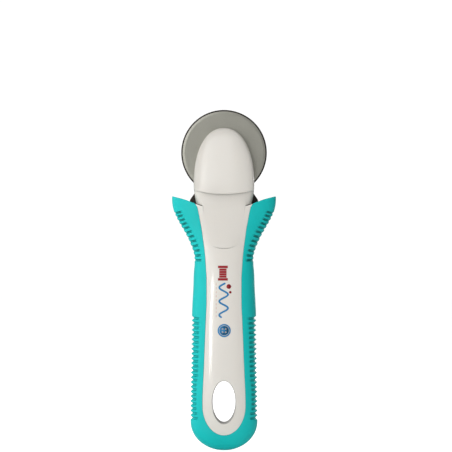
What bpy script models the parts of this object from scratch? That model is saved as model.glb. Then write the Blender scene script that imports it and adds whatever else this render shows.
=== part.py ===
"""Rotary cutter with a 45 mm blade, built as separate named pieces.

Frame: +Z runs up the handle towards the blade, -Y is the front (the side with
the tongue and the head cover), +Y is the back (the side with the knob and the
thumb pad), +X is to the right seen from the front.
The origin is the lowest point of the handle, on its mid plane.
Sizes are in millimetres and are turned into metres by MM.
"""

import math

import bmesh
import bpy
from mathutils import Matrix, Vector

MM = 0.001

# ---------------------------------------------------------------- shared dimensions
BLADE_Z = 161.7          # height of the blade's axis
BLADE_R = 22.5
BLADE_T = 0.30
STUD_R = 3.92
GUARD_TRAVEL = 9.0

GRIP_SIDE = 2.6          # soft grip over the hard core, at the sides
GRIP_FACE = 1.2          # and on the faces
GRIP_GAP = 0.2           # overlap of the grip into the core
WALL_SIDE = 2.0
WALL_FACE = 1.8
CORE_DROP = 1.6          # top of the hard core below the handle's top edge
TOP_WALL = 2.0
SECTION_POWER = 3.0      # superellipse exponent of the handle's section
REAR_LAND_Y = 10.0       # flat back of the handle
PARTING_GAP = 0.1        # between the front and back halves

UPPER_SCREWS = ((5.6, 100.7), (-5.6, 100.7))  # x, z
LOWER_SCREW = (0.0, 50.0)
DETENT_Z = 118.5         # bump of the detent spring
DETENT_SCREW_Z = 104.5
PEG_X, PEG_Z = 4.6, 124.0  # pegs joining the thumb pad to the guard

ARM_BACK_Y = -0.9
COVER_RIM = 3.95         # depth of the head cover's rim in front of the mid plane

THROUGH = (-20, 20)      # y range of a cutter that passes through the whole handle
SMOOTH_ANGLE = 35        # degrees; sharper edges are shaded sharp

# ---------------------------------------------------------------- scene
for old in list(bpy.data.objects):
    bpy.data.objects.remove(old, do_unlink=True)

scene = bpy.context.scene
scene.unit_settings.system = "METRIC"
scene.unit_settings.scale_length = 1.0
parts = bpy.data.collections.new("rotary_cutter")
cutters = bpy.data.collections.new("cutters")
scene.collection.children.link(parts)
scene.collection.children.link(cutters)


def material(name, colour, roughness, metallic=0.0):
    mat = bpy.data.materials.new(name)
    mat.use_nodes = True
    bsdf = mat.node_tree.nodes["Principled BSDF"]
    bsdf.inputs["Base Color"].default_value = (*colour, 1.0)
    bsdf.inputs["Roughness"].default_value = roughness
    bsdf.inputs["Metallic"].default_value = metallic
    mat.diffuse_color = (*colour, 1.0)
    return mat


WHITE = material("white_plastic", colour=(0.76, 0.74, 0.70), roughness=0.28)
TEAL = material("teal_soft_grip", colour=(0.012, 0.50, 0.49), roughness=0.55)
TEAL_HARD = material("teal_plastic", colour=(0.014, 0.48, 0.47), roughness=0.35)
BLACK = material("black_plastic", colour=(0.012, 0.012, 0.012), roughness=0.45)
STEEL = material("blade_steel", colour=(0.33, 0.33, 0.30), roughness=0.30, metallic=1.0)
ZINC = material("zinc_steel", colour=(0.55, 0.55, 0.56), roughness=0.35, metallic=1.0)
BRASS = material("brass", colour=(0.66, 0.46, 0.16), roughness=0.30, metallic=1.0)
POM = material("natural_pom", colour=(0.80, 0.80, 0.76), roughness=0.45)


# ---------------------------------------------------------------- curves and outlines
def table(rows):
    """A smooth monotone-cubic curve through (position, value) rows."""
    xs = [row[0] for row in rows]
    ys = [row[1] for row in rows]
    n = len(xs)
    slopes = [(ys[i + 1] - ys[i]) / (xs[i + 1] - xs[i]) for i in range(n - 1)]
    tangents = [slopes[0]] + [0.0] * (n - 2) + [slopes[-1]]
    for i in range(1, n - 1):
        if slopes[i - 1] * slopes[i] > 0:
            before, after = xs[i] - xs[i - 1], xs[i + 1] - xs[i]
            weight0, weight1 = 2 * after + before, after + 2 * before
            tangents[i] = (weight0 + weight1) / (weight0 / slopes[i - 1] + weight1 / slopes[i])

    def value(x):
        if x <= xs[0]:
            return ys[0]
        if x >= xs[-1]:
            return ys[-1]
        i = max(k for k in range(n - 1) if xs[k] <= x)
        step = xs[i + 1] - xs[i]
        t = (x - xs[i]) / step
        return (
            (2 * t**3 - 3 * t**2 + 1) * ys[i]
            + (t**3 - 2 * t**2 + t) * step * tangents[i]
            + (-2 * t**3 + 3 * t**2) * ys[i + 1]
            + (t**3 - t**2) * step * tangents[i + 1]
        )

    return value


def signed_power(value, power):
    return math.copysign(abs(value) ** power, value) if abs(value) > 1e-9 else 0.0


def mirror(points):
    """The points mirrored left to right, in reverse order, to close an outline."""
    return [(-x, z) for x, z in reversed(points)]


def arc(x, z, radius, start, sweep, steps):
    """Points on an arc about (x, z); start and sweep are in degrees."""
    angles = [math.radians(start + sweep * k / steps) for k in range(steps + 1)]
    return [(x + radius * math.cos(a), z + radius * math.sin(a)) for a in angles]


# ---------------------------------------------------------------- mesh helpers
def link_cutter(obj):
    cutters.objects.link(obj)
    obj.hide_render = True
    obj.display_type = "WIRE"
    return obj


def face_outward(bm):
    bmesh.ops.recalc_face_normals(bm, faces=bm.faces)
    if bm.calc_volume(signed=True) < 0:
        bmesh.ops.reverse_faces(bm, faces=bm.faces)


def clean(mesh, weld=True):
    """Welds coincident vertices and turns the faces outward."""
    bm = bmesh.new()
    bm.from_mesh(mesh)
    if weld:
        bmesh.ops.remove_doubles(bm, verts=bm.verts, dist=1e-7)
    face_outward(bm)
    bm.to_mesh(mesh)
    bm.free()


def surface_object(name, bm):
    mesh = bpy.data.meshes.new(name)
    bm.to_mesh(mesh)
    bm.free()
    return link_cutter(bpy.data.objects.new(name, mesh))


def solid_object(name, bm):
    face_outward(bm)
    return surface_object(name, bm)


def evaluated_mesh(obj):
    bpy.context.view_layer.update()
    graph = bpy.context.evaluated_depsgraph_get()
    return bpy.data.meshes.new_from_object(obj.evaluated_get(graph))


def apply_modifiers(obj):
    mesh = evaluated_mesh(obj)
    obj.modifiers.clear()
    obj.data = mesh


def apply_transform(obj):
    bpy.context.view_layer.update()
    obj.data.transform(obj.matrix_world)
    obj.matrix_world = Matrix.Identity(4)
    return obj


def boolean(obj, tool, operation, keep=False):
    """Applies the boolean to obj and removes the tool unless it is kept."""
    bpy.context.view_layer.update()
    mod = obj.modifiers.new(operation.lower(), "BOOLEAN")
    mod.operation = operation
    mod.solver = "EXACT"
    mod.object = tool
    apply_modifiers(obj)
    if not keep:
        bpy.data.objects.remove(tool, do_unlink=True)


def cut(obj, tool, keep=False):
    boolean(obj, tool, "DIFFERENCE", keep)


def add(obj, tool):
    boolean(obj, tool, "UNION")


def thicken(obj, thickness, offset):
    mod = obj.modifiers.new("thickness", "SOLIDIFY")
    mod.thickness = thickness * MM
    mod.offset = offset
    mod.use_even_offset = False
    apply_modifiers(obj)


def loft(name, rings):
    """A closed solid through rings of equal length, capped at both ends."""
    bm = bmesh.new()
    loops = [[bm.verts.new([c * MM for c in point]) for point in ring] for ring in rings]
    bridge(bm, loops)
    bm.faces.new(loops[0])
    bm.faces.new(list(reversed(loops[-1])))
    return solid_object(name, bm)


def bridge(bm, loops):
    """Joins neighbouring vertex loops with quads."""
    for lower, upper in zip(loops, loops[1:]):
        for i in range(len(lower)):
            j = (i + 1) % len(lower)
            bm.faces.new((lower[i], lower[j], upper[j], upper[i]))


def plate(name, outline, y0, y1):
    """A flat plate with an outline of (x, z) points, extruded from y0 to y1."""
    curve = bpy.data.curves.new(name, "CURVE")
    curve.dimensions = "2D"
    curve.fill_mode = "BOTH"
    curve.extrude = (y1 - y0) / 2 * MM
    spline = curve.splines.new("POLY")
    spline.points.add(len(outline) - 1)
    for point, (x, z) in zip(spline.points, outline):
        point.co = (x * MM, z * MM, 0.0, 1.0)
    spline.use_cyclic_u = True
    flat = bpy.data.objects.new(name, curve)
    flat.rotation_euler = (math.radians(90), 0.0, 0.0)
    flat.location = (0.0, (y0 + y1) / 2 * MM, 0.0)
    link_cutter(flat)
    mesh = evaluated_mesh(flat)
    clean(mesh)
    obj = bpy.data.objects.new(name, mesh)
    obj.matrix_world = flat.matrix_world.copy()
    bpy.data.objects.remove(flat, do_unlink=True)
    return apply_transform(link_cutter(obj))


def box(name, low, high):
    bm = bmesh.new()
    bmesh.ops.create_cube(bm, size=1.0)
    size = Vector([(b - a) * MM for a, b in zip(low, high)])
    middle = Vector([(b + a) / 2 * MM for a, b in zip(low, high)])
    bmesh.ops.scale(bm, vec=size, verts=bm.verts)
    bmesh.ops.translate(bm, vec=middle, verts=bm.verts)
    return solid_object(name, bm)


def rod(name, x, z, radius, y0, y1, segments, end_radius=None, turn=0.0):
    """A cylinder or cone along Y: radius at y0 and end_radius at y1."""
    bm = bmesh.new()
    bmesh.ops.create_cone(
        bm,
        cap_ends=True,
        segments=segments,
        radius1=(radius if end_radius is None else end_radius) * MM,
        radius2=radius * MM,
        depth=(y1 - y0) * MM,
    )
    bmesh.ops.rotate(bm, matrix=Matrix.Rotation(turn, 3, "Z"), verts=bm.verts)
    bmesh.ops.rotate(bm, matrix=Matrix.Rotation(math.radians(90), 3, "X"), verts=bm.verts)
    bmesh.ops.translate(bm, vec=(x * MM, (y0 + y1) / 2 * MM, z * MM), verts=bm.verts)
    return solid_object(name, bm)


def turned(name, profile, steps):
    """A closed (radius, y) profile turned about the blade's axis by a Screw modifier."""
    mesh = bpy.data.meshes.new(name)
    # The Screw turns about local Z, which the object's rotation lays along -Y.
    verts = [(radius * MM, 0.0, -y * MM) for radius, y in profile]
    n = len(verts)
    mesh.from_pydata(verts, [(i, (i + 1) % n) for i in range(n)], [])
    obj = link_cutter(bpy.data.objects.new(name, mesh))
    screw = obj.modifiers.new("turn", "SCREW")
    screw.axis = "Z"
    screw.angle = math.radians(360)
    screw.steps = steps
    screw.render_steps = steps
    screw.use_merge_vertices = True
    screw.merge_threshold = 0.00001
    obj.rotation_euler = (math.radians(90), 0.0, 0.0)
    obj.location = (0.0, 0.0, BLADE_Z * MM)
    apply_modifiers(obj)
    clean(obj.data)
    return obj


def ring_profile(inner, outer, y0, y1):
    return [(inner, y0), (outer, y0), (outer, y1), (inner, y1)]


def finish(obj, name, mat, on_axis=False):
    """Names, shades and links a piece; on_axis puts its origin on the blade's axis."""
    obj.name = name
    obj.data.name = name
    obj.hide_render = False
    obj.display_type = "TEXTURED"
    cutters.objects.unlink(obj)
    parts.objects.link(obj)
    obj.data.materials.clear()
    obj.data.materials.append(mat)
    obj.data.shade_smooth()
    obj.data.set_sharp_from_angle(angle=math.radians(SMOOTH_ANGLE))
    if on_axis:
        axis = Vector((0.0, 0.0, BLADE_Z * MM))
        apply_transform(obj)
        obj.data.transform(Matrix.Translation(-axis))
        obj.matrix_world = Matrix.Translation(axis)


# ---------------------------------------------------------------- handle form
def rounded_end_curve(rows, power):
    """Size against z: a curve through the rows, closed to zero below the first row."""
    curve = table(rows)
    end_z, end_size = rows[0]

    def size(z, inset=0.0):
        if z >= end_z:
            return curve(z) - inset
        t = (end_z - z) / (end_z - inset)
        t = min(max(t, 0.0), 1.0)
        return (end_size - inset) * max(1.0 - t**power, 0.0) ** (1.0 / power)

    return size


# z, half width of the handle's outline in front view
half_width = rounded_end_curve([
    (15.7, 18.2), (27.5, 18.2), (38.3, 18.05), (49.2, 17.85), (60.0, 17.6),
    (70.9, 17.45), (75.2, 17.38), (78.5, 17.22), (81.7, 17.08), (85.0, 16.87),
    (88.2, 16.7), (91.5, 16.58), (94.7, 16.5), (98.0, 16.28), (101.0, 16.0),
    (103.4, 15.98), (106.1, 16.25), (108.8, 16.95), (111.5, 17.95),
    (114.3, 19.15), (117.0, 20.5), (119.7, 22.0), (122.4, 23.6), (125.1, 25.1),
    (127.8, 26.4), (130.5, 27.4), (133.2, 28.0), (136.0, 28.25), (142.0, 28.2),
], power=2.0)
# z, depth of the front crown at the middle
front_depth = rounded_end_curve([
    (14.0, 8.9), (25.0, 9.4), (45.0, 9.85), (65.0, 10.0), (82.0, 10.0),
    (95.0, 9.7), (105.0, 9.15), (112.0, 8.55), (118.0, 7.95), (124.0, 7.4),
    (130.0, 7.0), (142.0, 6.8),
], power=2.5)
# z, depth of the back at the middle
rear_depth = rounded_end_curve([
    (14.0, 9.2), (25.0, 10.0), (45.0, 10.7), (65.0, 10.9), (85.0, 10.8),
    (100.0, 10.3), (110.0, 9.6), (120.0, 8.8), (130.0, 8.1), (142.0, 7.7),
], power=2.5)
# z, half width of the hard white panel inside the soft grip
panel_half = table([
    (24.7, 11.62), (30.0, 11.53), (38.3, 11.17), (49.2, 10.67), (60.0, 10.27),
    (70.9, 9.8), (81.7, 9.37), (92.6, 9.38), (98.0, 9.65), (103.4, 10.0),
    (108.8, 10.5), (114.3, 11.25), (119.7, 11.97), (125.1, 12.95), (130.5, 14.0),
    (131.7, 14.4), (132.8, 15.0), (133.5, 15.7), (134.0, 16.45), (134.3, 17.1),
    (142.0, 17.2),
])
# distance from the middle, height of the handle's top edge
top_edge = table([
    (0.0, 131.9), (8.0, 132.4), (11.7, 133.2), (14.8, 134.2), (18.6, 135.8),
    (23.6, 137.0), (28.6, 138.1), (32.0, 138.6),
])
# z of the rings of a form
STATIONS = [
    0.4, 1.6, 3.8, 7.5, 12.0, 17.0, 28.0, 42.0, 60.0, 76.0, 88.0, 96.0,
    102.0, 107.0, 111.5, 115.5, 119.5, 123.5, 127.5, 132.0, 136.0, 141.0,
]
# z of the points down the panel's side
PANEL_ZS = [
    142, 134.3, 133.5, 132.4, 130.5, 127, 123, 119, 115, 111, 107, 103, 98, 92,
    84, 76, 68, 60, 52, 44, 37, 31, 25.5,
]
PANEL_END_Z, PANEL_END_RX, PANEL_END_RZ = 24.7, 11.6, 15.95  # ellipse at its lower end
# x of the points along the left half of the top edge
TOP_EDGE_XS = [-32, -28.4, -26, -23.6, -21, -18.6, -16.5, -14.8, -13.2, -11.7, -9.5, -6, 0]


def section(z, side, face, count, land):
    """One ring of the handle's form, inset by side at the sides and by face front and back."""
    least_width = 1.2 - 0.3 * side if side else 1.5
    least_depth = 0.7
    width = max(half_width(z, side), least_width)
    front = max(front_depth(z, face), least_depth)
    rear = max(rear_depth(z, face), least_depth)
    ring = []
    for i in range(count):
        angle = 2 * math.pi * i / count
        x = width * signed_power(math.cos(angle), 2 / SECTION_POWER)
        forward = signed_power(math.sin(angle), 2 / SECTION_POWER)
        y = -front * forward if forward > 0 else min(-rear * forward, land - face)
        ring.append((x, y, z))
    return ring


def form(name, side, face, top=141.0, bottom=0.0, count=24, land=REAR_LAND_Y):
    zs = [bottom] + [z for z in STATIONS if bottom + 0.3 < z < top - 0.2] + [top]
    return loft(name, [section(z, side, face, count, land) for z in zs])


def panel_plate(grow):
    """The white panel's outline, down the sides and round the lower end, as a plate."""
    right = [(panel_half(z) + grow, z) for z in PANEL_ZS]
    for k in range(1, 10):
        a = math.radians(90 * k / 9.0)
        right.append(((PANEL_END_RX + grow) * math.cos(a),
                      PANEL_END_Z - (PANEL_END_RZ + grow) * math.sin(a)))
    return plate("panel", right + mirror(right[:-1]), *THROUGH)


def above_top_edge(drop):
    """Everything above the handle's top edge, lowered by drop."""
    left = [(x, top_edge(abs(x)) - drop) for x in TOP_EDGE_XS]
    return plate("top", left + mirror(left[:-1]) + [(32, 150), (-32, 150)], *THROUGH)


def halves(obj):
    """Splits a form at the parting plane into its front and back halves."""
    rear = link_cutter(bpy.data.objects.new("rear", obj.data.copy()))
    cut(obj, box("behind", (-40, -PARTING_GAP / 2, -10), (40, 30, 160)))
    cut(rear, box("in_front", (-40, -30, -10), (40, PARTING_GAP / 2, 160)))
    return obj, rear


def shoulder_slot():
    """Room for the guard's shoulders, which run down into the back of the handle."""
    return box("shoulder_slot", (-19.3, -1, 124), (19.3, 3.1, 150))


# ---------------------------------------------------------------- soft grip
PANEL_GAP = 0.15
GROOVE_DEPTH = 1.7
GROOVE_WIDTH = 1.15
SLAB_LENGTH = 5.0
SLAB_DEPTH = 30
GROOVE_ZS = [17.35 + 2.515 * i for i in range(23)] + [
    103.5, 106.0, 108.5, 111.0, 113.4, 115.8, 118.15, 120.45, 122.7,
    124.9, 127.1, 129.25,
]


def groove_slabs():
    """Slabs across both sides of the handle, one for each groove, square to the outline."""
    bm = bmesh.new()
    slab_size = (SLAB_LENGTH * MM, SLAB_DEPTH * MM, GROOVE_WIDTH * MM)
    for z in GROOVE_ZS:
        tilt = math.atan(half_width(z + 0.5) - half_width(z - 0.5))
        for side in (1, -1):
            verts = bmesh.ops.create_cube(bm, size=1.0)["verts"]
            bmesh.ops.scale(bm, vec=slab_size, verts=verts)
            bmesh.ops.rotate(bm, matrix=Matrix.Rotation(tilt * side, 3, "Y"), verts=verts)
            out = Vector((side * math.cos(tilt), 0, -math.sin(tilt)))
            edge = Vector((side * half_width(z), 0, z))
            centre = edge + out * (SLAB_LENGTH / 2 - GROOVE_DEPTH)
            bmesh.ops.translate(bm, vec=centre * MM, verts=verts)
    return solid_object("slabs", bm)


def build_grips():
    """A U of soft material over the hard core, in two halves, grooved across its sides."""
    core_gap = form("core_gap", GRIP_SIDE - GRIP_GAP, GRIP_FACE - GRIP_GAP, top=140.0,
                    bottom=GRIP_SIDE - GRIP_GAP)
    cut(core_gap, above_top_edge(CORE_DROP - GRIP_GAP))
    grip = form("grip", 0.0, 0.0)
    cut(grip, core_gap)
    cut(grip, panel_plate(PANEL_GAP))
    cut(grip, above_top_edge(0.0))
    front, rear = halves(grip)
    slabs = groove_slabs()
    cut(front, slabs, keep=True)
    cut(rear, slabs)
    cut(rear, shoulder_slot())
    finish(front, "front_grip", TEAL)
    finish(rear, "rear_grip", TEAL)


# ---------------------------------------------------------------- shells
HOLE_Z, HOLE_RX, HOLE_RZ = 26.5, 6.6, 11.7
HOLE_WALL = 1.9
COLUMN_R = 3.2
REAR_BORE_R, FRONT_BORE_R = 1.65, 1.5
SCREW_SEAT_R, SCREW_SEAT_Y = 2.9, 7.3
RAIL_X = (9.1, 10.3)     # guide rails beside the guard's tail
TONGUE_GAP = 0.3

# z, half width of the blade arm's tongue
tongue_half = table([
    (109.6, 0.0), (109.8, 2.4), (110.3, 4.2), (111.0, 5.8), (111.9, 7.3), (113.5, 8.2),
    (118.0, 9.25), (125.0, 10.35), (133.2, 11.7), (142.0, 13.0),
])
RECESS_TIP = (1.2, 109.62 - TONGUE_GAP)
RECESS_ZS = [109.75, 110.15, 110.8, 111.8, 113.5, 116.0, 119.0, 122.0, 126.0, 130.0, 140.0]
# Left half of the thumb pad's window: x, z
WINDOW_LEFT = [(-7.6, 150), (-7.6, 112.0), (-6.9, 110.2), (-5.2, 109.3)]


def oval(name, grow):
    """The hanging hole's oval, as a plate."""
    steps = 24
    angles = [2 * math.pi * (k + 0.5) / steps for k in range(steps)]
    outline = [((HOLE_RX + grow) * math.cos(a), HOLE_Z + (HOLE_RZ + grow) * math.sin(a))
               for a in angles]
    return plate(name, outline, *THROUGH)


def shell_cavity():
    """The hollow inside, leaving a wall round the hanging hole and columns for the screws."""
    cavity = form("cavity", GRIP_SIDE + WALL_SIDE, GRIP_FACE + WALL_FACE, top=139.0,
                  bottom=GRIP_SIDE + WALL_SIDE, count=20, land=99.0)
    cut(cavity, above_top_edge(CORE_DROP + TOP_WALL))
    cut(cavity, oval("collar", HOLE_WALL))
    cut(cavity, rod("column", *LOWER_SCREW, COLUMN_R, *THROUGH, 20))
    for x, z in UPPER_SCREWS:
        cut(cavity, rod("column", x, z, COLUMN_R, -20, -4.0, 20))
        cut(cavity, rod("column", x, z, COLUMN_R, 0.0, 20, 20))
    return cavity


def tongue_recess():
    """The recess in the front in which the blade arm's tongue lies."""
    right = [RECESS_TIP]
    for z in RECESS_ZS:
        right.append((tongue_half(z) + TONGUE_GAP, z - (TONGUE_GAP if z < 111.5 else 0.0)))
    recess = form("recess", 0.0, -4.0, top=138.0, bottom=105.0)
    cut(recess, form("floor", 1.0, 1.9, top=139.0, bottom=104.0))
    boolean(recess, plate("tongue_outline", right + mirror(right), -20, 0), "INTERSECT")
    return recess


def build_shells():
    hard = form("hard", 0.0, 0.0)
    boolean(hard, panel_plate(0.0), "INTERSECT")
    cut(hard, above_top_edge(0.0))
    core = form("core", GRIP_SIDE, GRIP_FACE, top=140.0, bottom=GRIP_SIDE)
    cut(core, above_top_edge(CORE_DROP))
    add(hard, core)
    cut(hard, shell_cavity())
    cut(hard, oval("hole", 0.0))
    front, rear = halves(hard)

    cut(front, tongue_recess())
    # The root of the arm passes through the front shell's top wall.
    cut(front, box("root_slot", (-10.03, -4.32, 120), (10.03, 1, 150)))
    # The guard's shoulders and its thumb pad pass through the back shell's.
    cut(rear, shoulder_slot())
    cut(rear, plate("window", WINDOW_LEFT + mirror(WINDOW_LEFT), -1, 20))
    for side in (1, -1):
        low_x, high_x = sorted(side * x for x in RAIL_X)
        add(rear, box("rail", (low_x, 0.4, 106.7), (high_x, 6.6, 119.3)))
    # The upper columns reach across the parting plane towards the arm's root.
    for x, z in UPPER_SCREWS:
        add(rear, rod("column", x, z, 2.9, -1.0, 3.0, 20))
    for x, z in (*UPPER_SCREWS, LOWER_SCREW):
        cut(rear, rod("bore", x, z, REAR_BORE_R, -2, 8.0, 16))
        cut(rear, rod("seat", x, z, SCREW_SEAT_R, SCREW_SEAT_Y, 12, 20))
        cut(front, rod("bore", x, z, FRONT_BORE_R, -8.3, 1, 16))
    finish(front, "front_shell", WHITE)
    finish(rear, "rear_shell", WHITE)


# ---------------------------------------------------------------- head outline
EGG_HALF = 16.45         # half width at the widest point
EGG_Z = 144.1            # height of the widest point
EGG_RISE = 30.9          # from there to the tip
EGG_POWER = 2.2
EGG_TAPER = 0.04         # narrowing per mm below the widest point
EGG_UPPER_STEPS = 10
EGG_LOWER_STEPS = 10


def egg_outline(grow, bottom_mid, bottom_side):
    """The head's outline from the lower right corner, over the tip and along the lower edge."""
    corner_x = EGG_HALF - (EGG_Z - bottom_side) * EGG_TAPER + grow
    right = [(corner_x, bottom_side), (EGG_HALF + grow, EGG_Z)]
    for k in range(1, EGG_UPPER_STEPS + 1):
        a = math.radians(90.0 * k / EGG_UPPER_STEPS)
        x = (EGG_HALF + grow) * max(math.cos(a), 0.0) ** (2 / EGG_POWER)
        z = EGG_Z + (EGG_RISE + grow) * math.sin(a) ** (2 / EGG_POWER)
        right.append((x if k < EGG_UPPER_STEPS else 0.0, z))
    outline = right + mirror(right[:-1])
    for k in range(1, EGG_LOWER_STEPS):
        x = -corner_x + 2 * corner_x * k / EGG_LOWER_STEPS
        z = bottom_mid + (bottom_side - bottom_mid) * abs(x / corner_x) ** EGG_POWER
        outline.append((x, z))
    return outline


# ---------------------------------------------------------------- blade arm
# z, half width of the neck
neck_half = table([(133.9, 15.1), (136.0, 15.5), (139.5, 16.1), (144.0, 16.3)])
# z, depth of the neck's front
neck_depth = table([(133.9, 6.9), (138.0, 6.75), (144.0, 6.75)])
NECK_ZS = [133.9, 136.0, 139.5, 142.0, 143.4]

TONGUE_ZS = [109.7, 109.85, 110.3, 111.0, 112.0, 113.6, 116.0, 119.0, 122.5, 126.0, 129.5,
             132.5, 135.5]
TONGUE_TIP_HALF = 1.6
TONGUE_T = 1.6
# Right half of the root's outline: x, z
ROOT_RIGHT = [(9.6, 137.0), (9.6, 99.0), (8.2, 96.6)]


def neck_ring(z):
    width, depth = neck_half(z), neck_depth(z)
    ring = []
    for k in range(13):
        a = math.pi * k / 12
        x = width * signed_power(math.cos(a), 0.5)
        y = ARM_BACK_Y - (depth + ARM_BACK_Y) * max(math.sin(a), 0.0) ** 0.5
        ring.append((x, y, z))
    return ring


def build_neck():
    rings = [neck_ring(z) for z in NECK_ZS]
    # The lowest ring follows the handle's curved top edge, with a gap.
    rings[0] = [(x, y, max(top_edge(abs(x)) + 0.25, 133.3)) for x, y, z in rings[0]]
    return loft("neck", rings)


def front_y(x, z, proud):
    """Y of the front surface of the handle's form at x, z, stood off by proud."""
    across = min(abs(x) / half_width(z), 0.999)
    return -(front_depth(z) * (1 - across**SECTION_POWER) ** (1 / SECTION_POWER) + proud)


def build_tongue():
    """An open surface on the handle's form, thickened with Solidify."""
    bm = bmesh.new()
    bmesh.ops.create_grid(bm, x_segments=10, y_segments=len(TONGUE_ZS) - 1, size=1.0)
    rows = sorted({round(v.co.y, 5) for v in bm.verts})
    for v in bm.verts:
        z = TONGUE_ZS[rows.index(round(v.co.y, 5))]
        x = v.co.x * (TONGUE_TIP_HALF if z == TONGUE_ZS[0] else tongue_half(z))
        # The tongue stands out more towards its tip.
        proud = 0.12 + 0.25 * max(0.0, 1 - (z - 109.7) / 6.0)
        v.co = Vector((x, front_y(x, z, proud), z)) * MM
    tongue = surface_object("tongue", bm)
    thicken(tongue, thickness=TONGUE_T, offset=0.0)
    tongue.data.transform(Matrix.Translation((0, TONGUE_T / 2 * MM, 0)))
    clean(tongue.data, weld=False)
    return tongue


def build_arm():
    arm = plate("arm", egg_outline(-0.15, 138.4, 139.0), -3.7, ARM_BACK_Y)
    add(arm, build_neck())
    add(arm, build_tongue())
    # The root runs down inside the handle and is held by the two upper screws.
    add(arm, plate("root", ROOT_RIGHT + mirror(ROOT_RIGHT), -3.85, -1.1))
    # A boss round the stud's hexagonal head.
    add(arm, rod("boss", 0, BLADE_Z, 8.8, -5.3, -3.0, 30))
    cut(arm, rod("hex", 0, BLADE_Z, 7.2, -10, -3.9, 6))
    cut(arm, rod("bore", 0, BLADE_Z, 4.02, -10, 1, 32, turn=math.pi / 32))
    for x, z in UPPER_SCREWS:
        cut(arm, rod("bore", x, z, 1.65, -6, 1, 16))
    cut(arm, rod("bore", 0, DETENT_SCREW_Z, 0.85, -6, 1, 14))
    finish(arm, "blade_arm", WHITE)


# ---------------------------------------------------------------- head cover
# z, depth of the cover's crown
crown = table([
    (139.0, 9.35), (142.0, 9.75), (147.0, 10.0), (152.0, 9.95), (158.0, 9.5),
    (165.0, 8.6), (171.0, 7.5), (175.2, 6.6),
])
COVER_SCALES = [1.0, 0.98, 0.93, 0.84, 0.68, 0.42]  # rings, from the rim inward
COVER_MID_Z = 154.0
LOWER_RIM, CORNER_RIM = 7.0, 6.0  # rim depth along the lower edge and at its corners


def build_cover():
    """A domed egg-shaped cap over the stud's head, thickened with Solidify."""
    outline = egg_outline(0.0, 139.35, 141.4)
    lower_start = len(outline) - (EGG_LOWER_STEPS - 1)
    rims = [COVER_RIM] * lower_start + [LOWER_RIM] * (EGG_LOWER_STEPS - 1)
    rims[0] = rims[lower_start - 1] = CORNER_RIM
    bm = bmesh.new()
    loops = []
    for scale in COVER_SCALES:
        loop = []
        for (x, outline_z), rim in zip(outline, rims):
            z = COVER_MID_Z + (outline_z - COVER_MID_Z) * scale
            depth = rim + (crown(z) - rim) * (1 - scale**5.0) ** 0.5
            loop.append(bm.verts.new((x * scale * MM, -depth * MM, z * MM)))
        loops.append(loop)
    bridge(bm, loops)
    middle = bm.verts.new((0.0, -crown(COVER_MID_Z) * MM, COVER_MID_Z * MM))
    inner = loops[-1]
    for i in range(len(inner)):
        bm.faces.new((inner[i], inner[(i + 1) % len(inner)], middle))
    bmesh.ops.recalc_face_normals(bm, faces=bm.faces)
    cover = surface_object("head_cover", bm)
    # The outside must face the front, so that the thickness goes inward.
    if cover.data.polygons[-1].normal.y > 0:
        cover.data.flip_normals()
    thicken(cover, thickness=1.3, offset=-1.0)
    cut(cover, box("behind_rim", (-30, -COVER_RIM, 120), (30, 10, 190)))
    # The cover is notched where the neck passes under it.
    cut(cover, box("neck_notch", (-30, -7.03, 120), (30, 10, 143.8)))
    finish(cover, "head_cover", WHITE)


# ---------------------------------------------------------------- stud, blade and washers
def build_stud():
    stud = rod("stud", 0, BLADE_Z, 6.95, -5.75, -4.0, 6)
    add(stud, rod("shank", 0, BLADE_Z, STUD_R, -4.5, 2.0, 32))
    add(stud, rod("thread", 0, BLADE_Z, 2.45, 1.5, 8.3, 32))
    finish(stud, "pivot_stud", ZINC)


def build_blade():
    hole_r, bevel_r = 4.0, 21.2
    half, edge_half = BLADE_T / 2, 0.02
    profile = [
        (hole_r, -half), (bevel_r, -half), (BLADE_R, -edge_half),
        (BLADE_R, edge_half), (bevel_r, half), (hole_r, half),
    ]
    finish(turned("blade", profile, 60), "blade", STEEL, on_axis=True)


def build_washers():
    washer = turned("blade_washer", ring_profile(4.15, 9.0, -0.70, -0.26), 32)
    finish(washer, "blade_washer", POM)
    flat = turned("flat_washer", ring_profile(2.75, 8.0, 2.08, 2.75), 32)
    finish(flat, "flat_washer", ZINC, on_axis=True)
    # The spring washer is a flat ring bent into three waves.
    waves, wave_height = 3, 0.24
    wave = apply_transform(turned("wave_washer", ring_profile(3.3, 7.0, 3.14, 3.46), 36))
    for v in wave.data.vertices:
        a = math.atan2(v.co.z - BLADE_Z * MM, v.co.x)
        v.co.y += wave_height * MM * math.cos(waves * a)
    finish(wave, "wave_washer", ZINC, on_axis=True)


# ---------------------------------------------------------------- knob
# radius, y
KNOB_PROFILE = [
    (3.62, 3.85), (8.6, 3.85), (9.4, 4.5), (9.4, 8.4), (8.4, 9.5),
    (0.0, 9.7), (0.0, 8.75), (3.62, 8.75),
]
SCALLOPS = 8
SCALLOP_R = 2.5
SCALLOP_CIRCLE_R = 10.9


def build_knob():
    knob = apply_transform(turned("knob", KNOB_PROFILE, 48))
    for k in range(SCALLOPS):
        a = 2 * math.pi * (k + 0.5) / SCALLOPS
        x = SCALLOP_CIRCLE_R * math.cos(a)
        z = BLADE_Z + SCALLOP_CIRCLE_R * math.sin(a)
        cut(knob, rod("scallop", x, z, SCALLOP_R, 3, 11, 20))
    finish(knob, "knob", TEAL_HARD, on_axis=True)
    insert = turned("knob_insert", ring_profile(2.54, 3.5, 4.0, 8.55), 32)
    finish(insert, "knob_insert", BRASS, on_axis=True)


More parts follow.
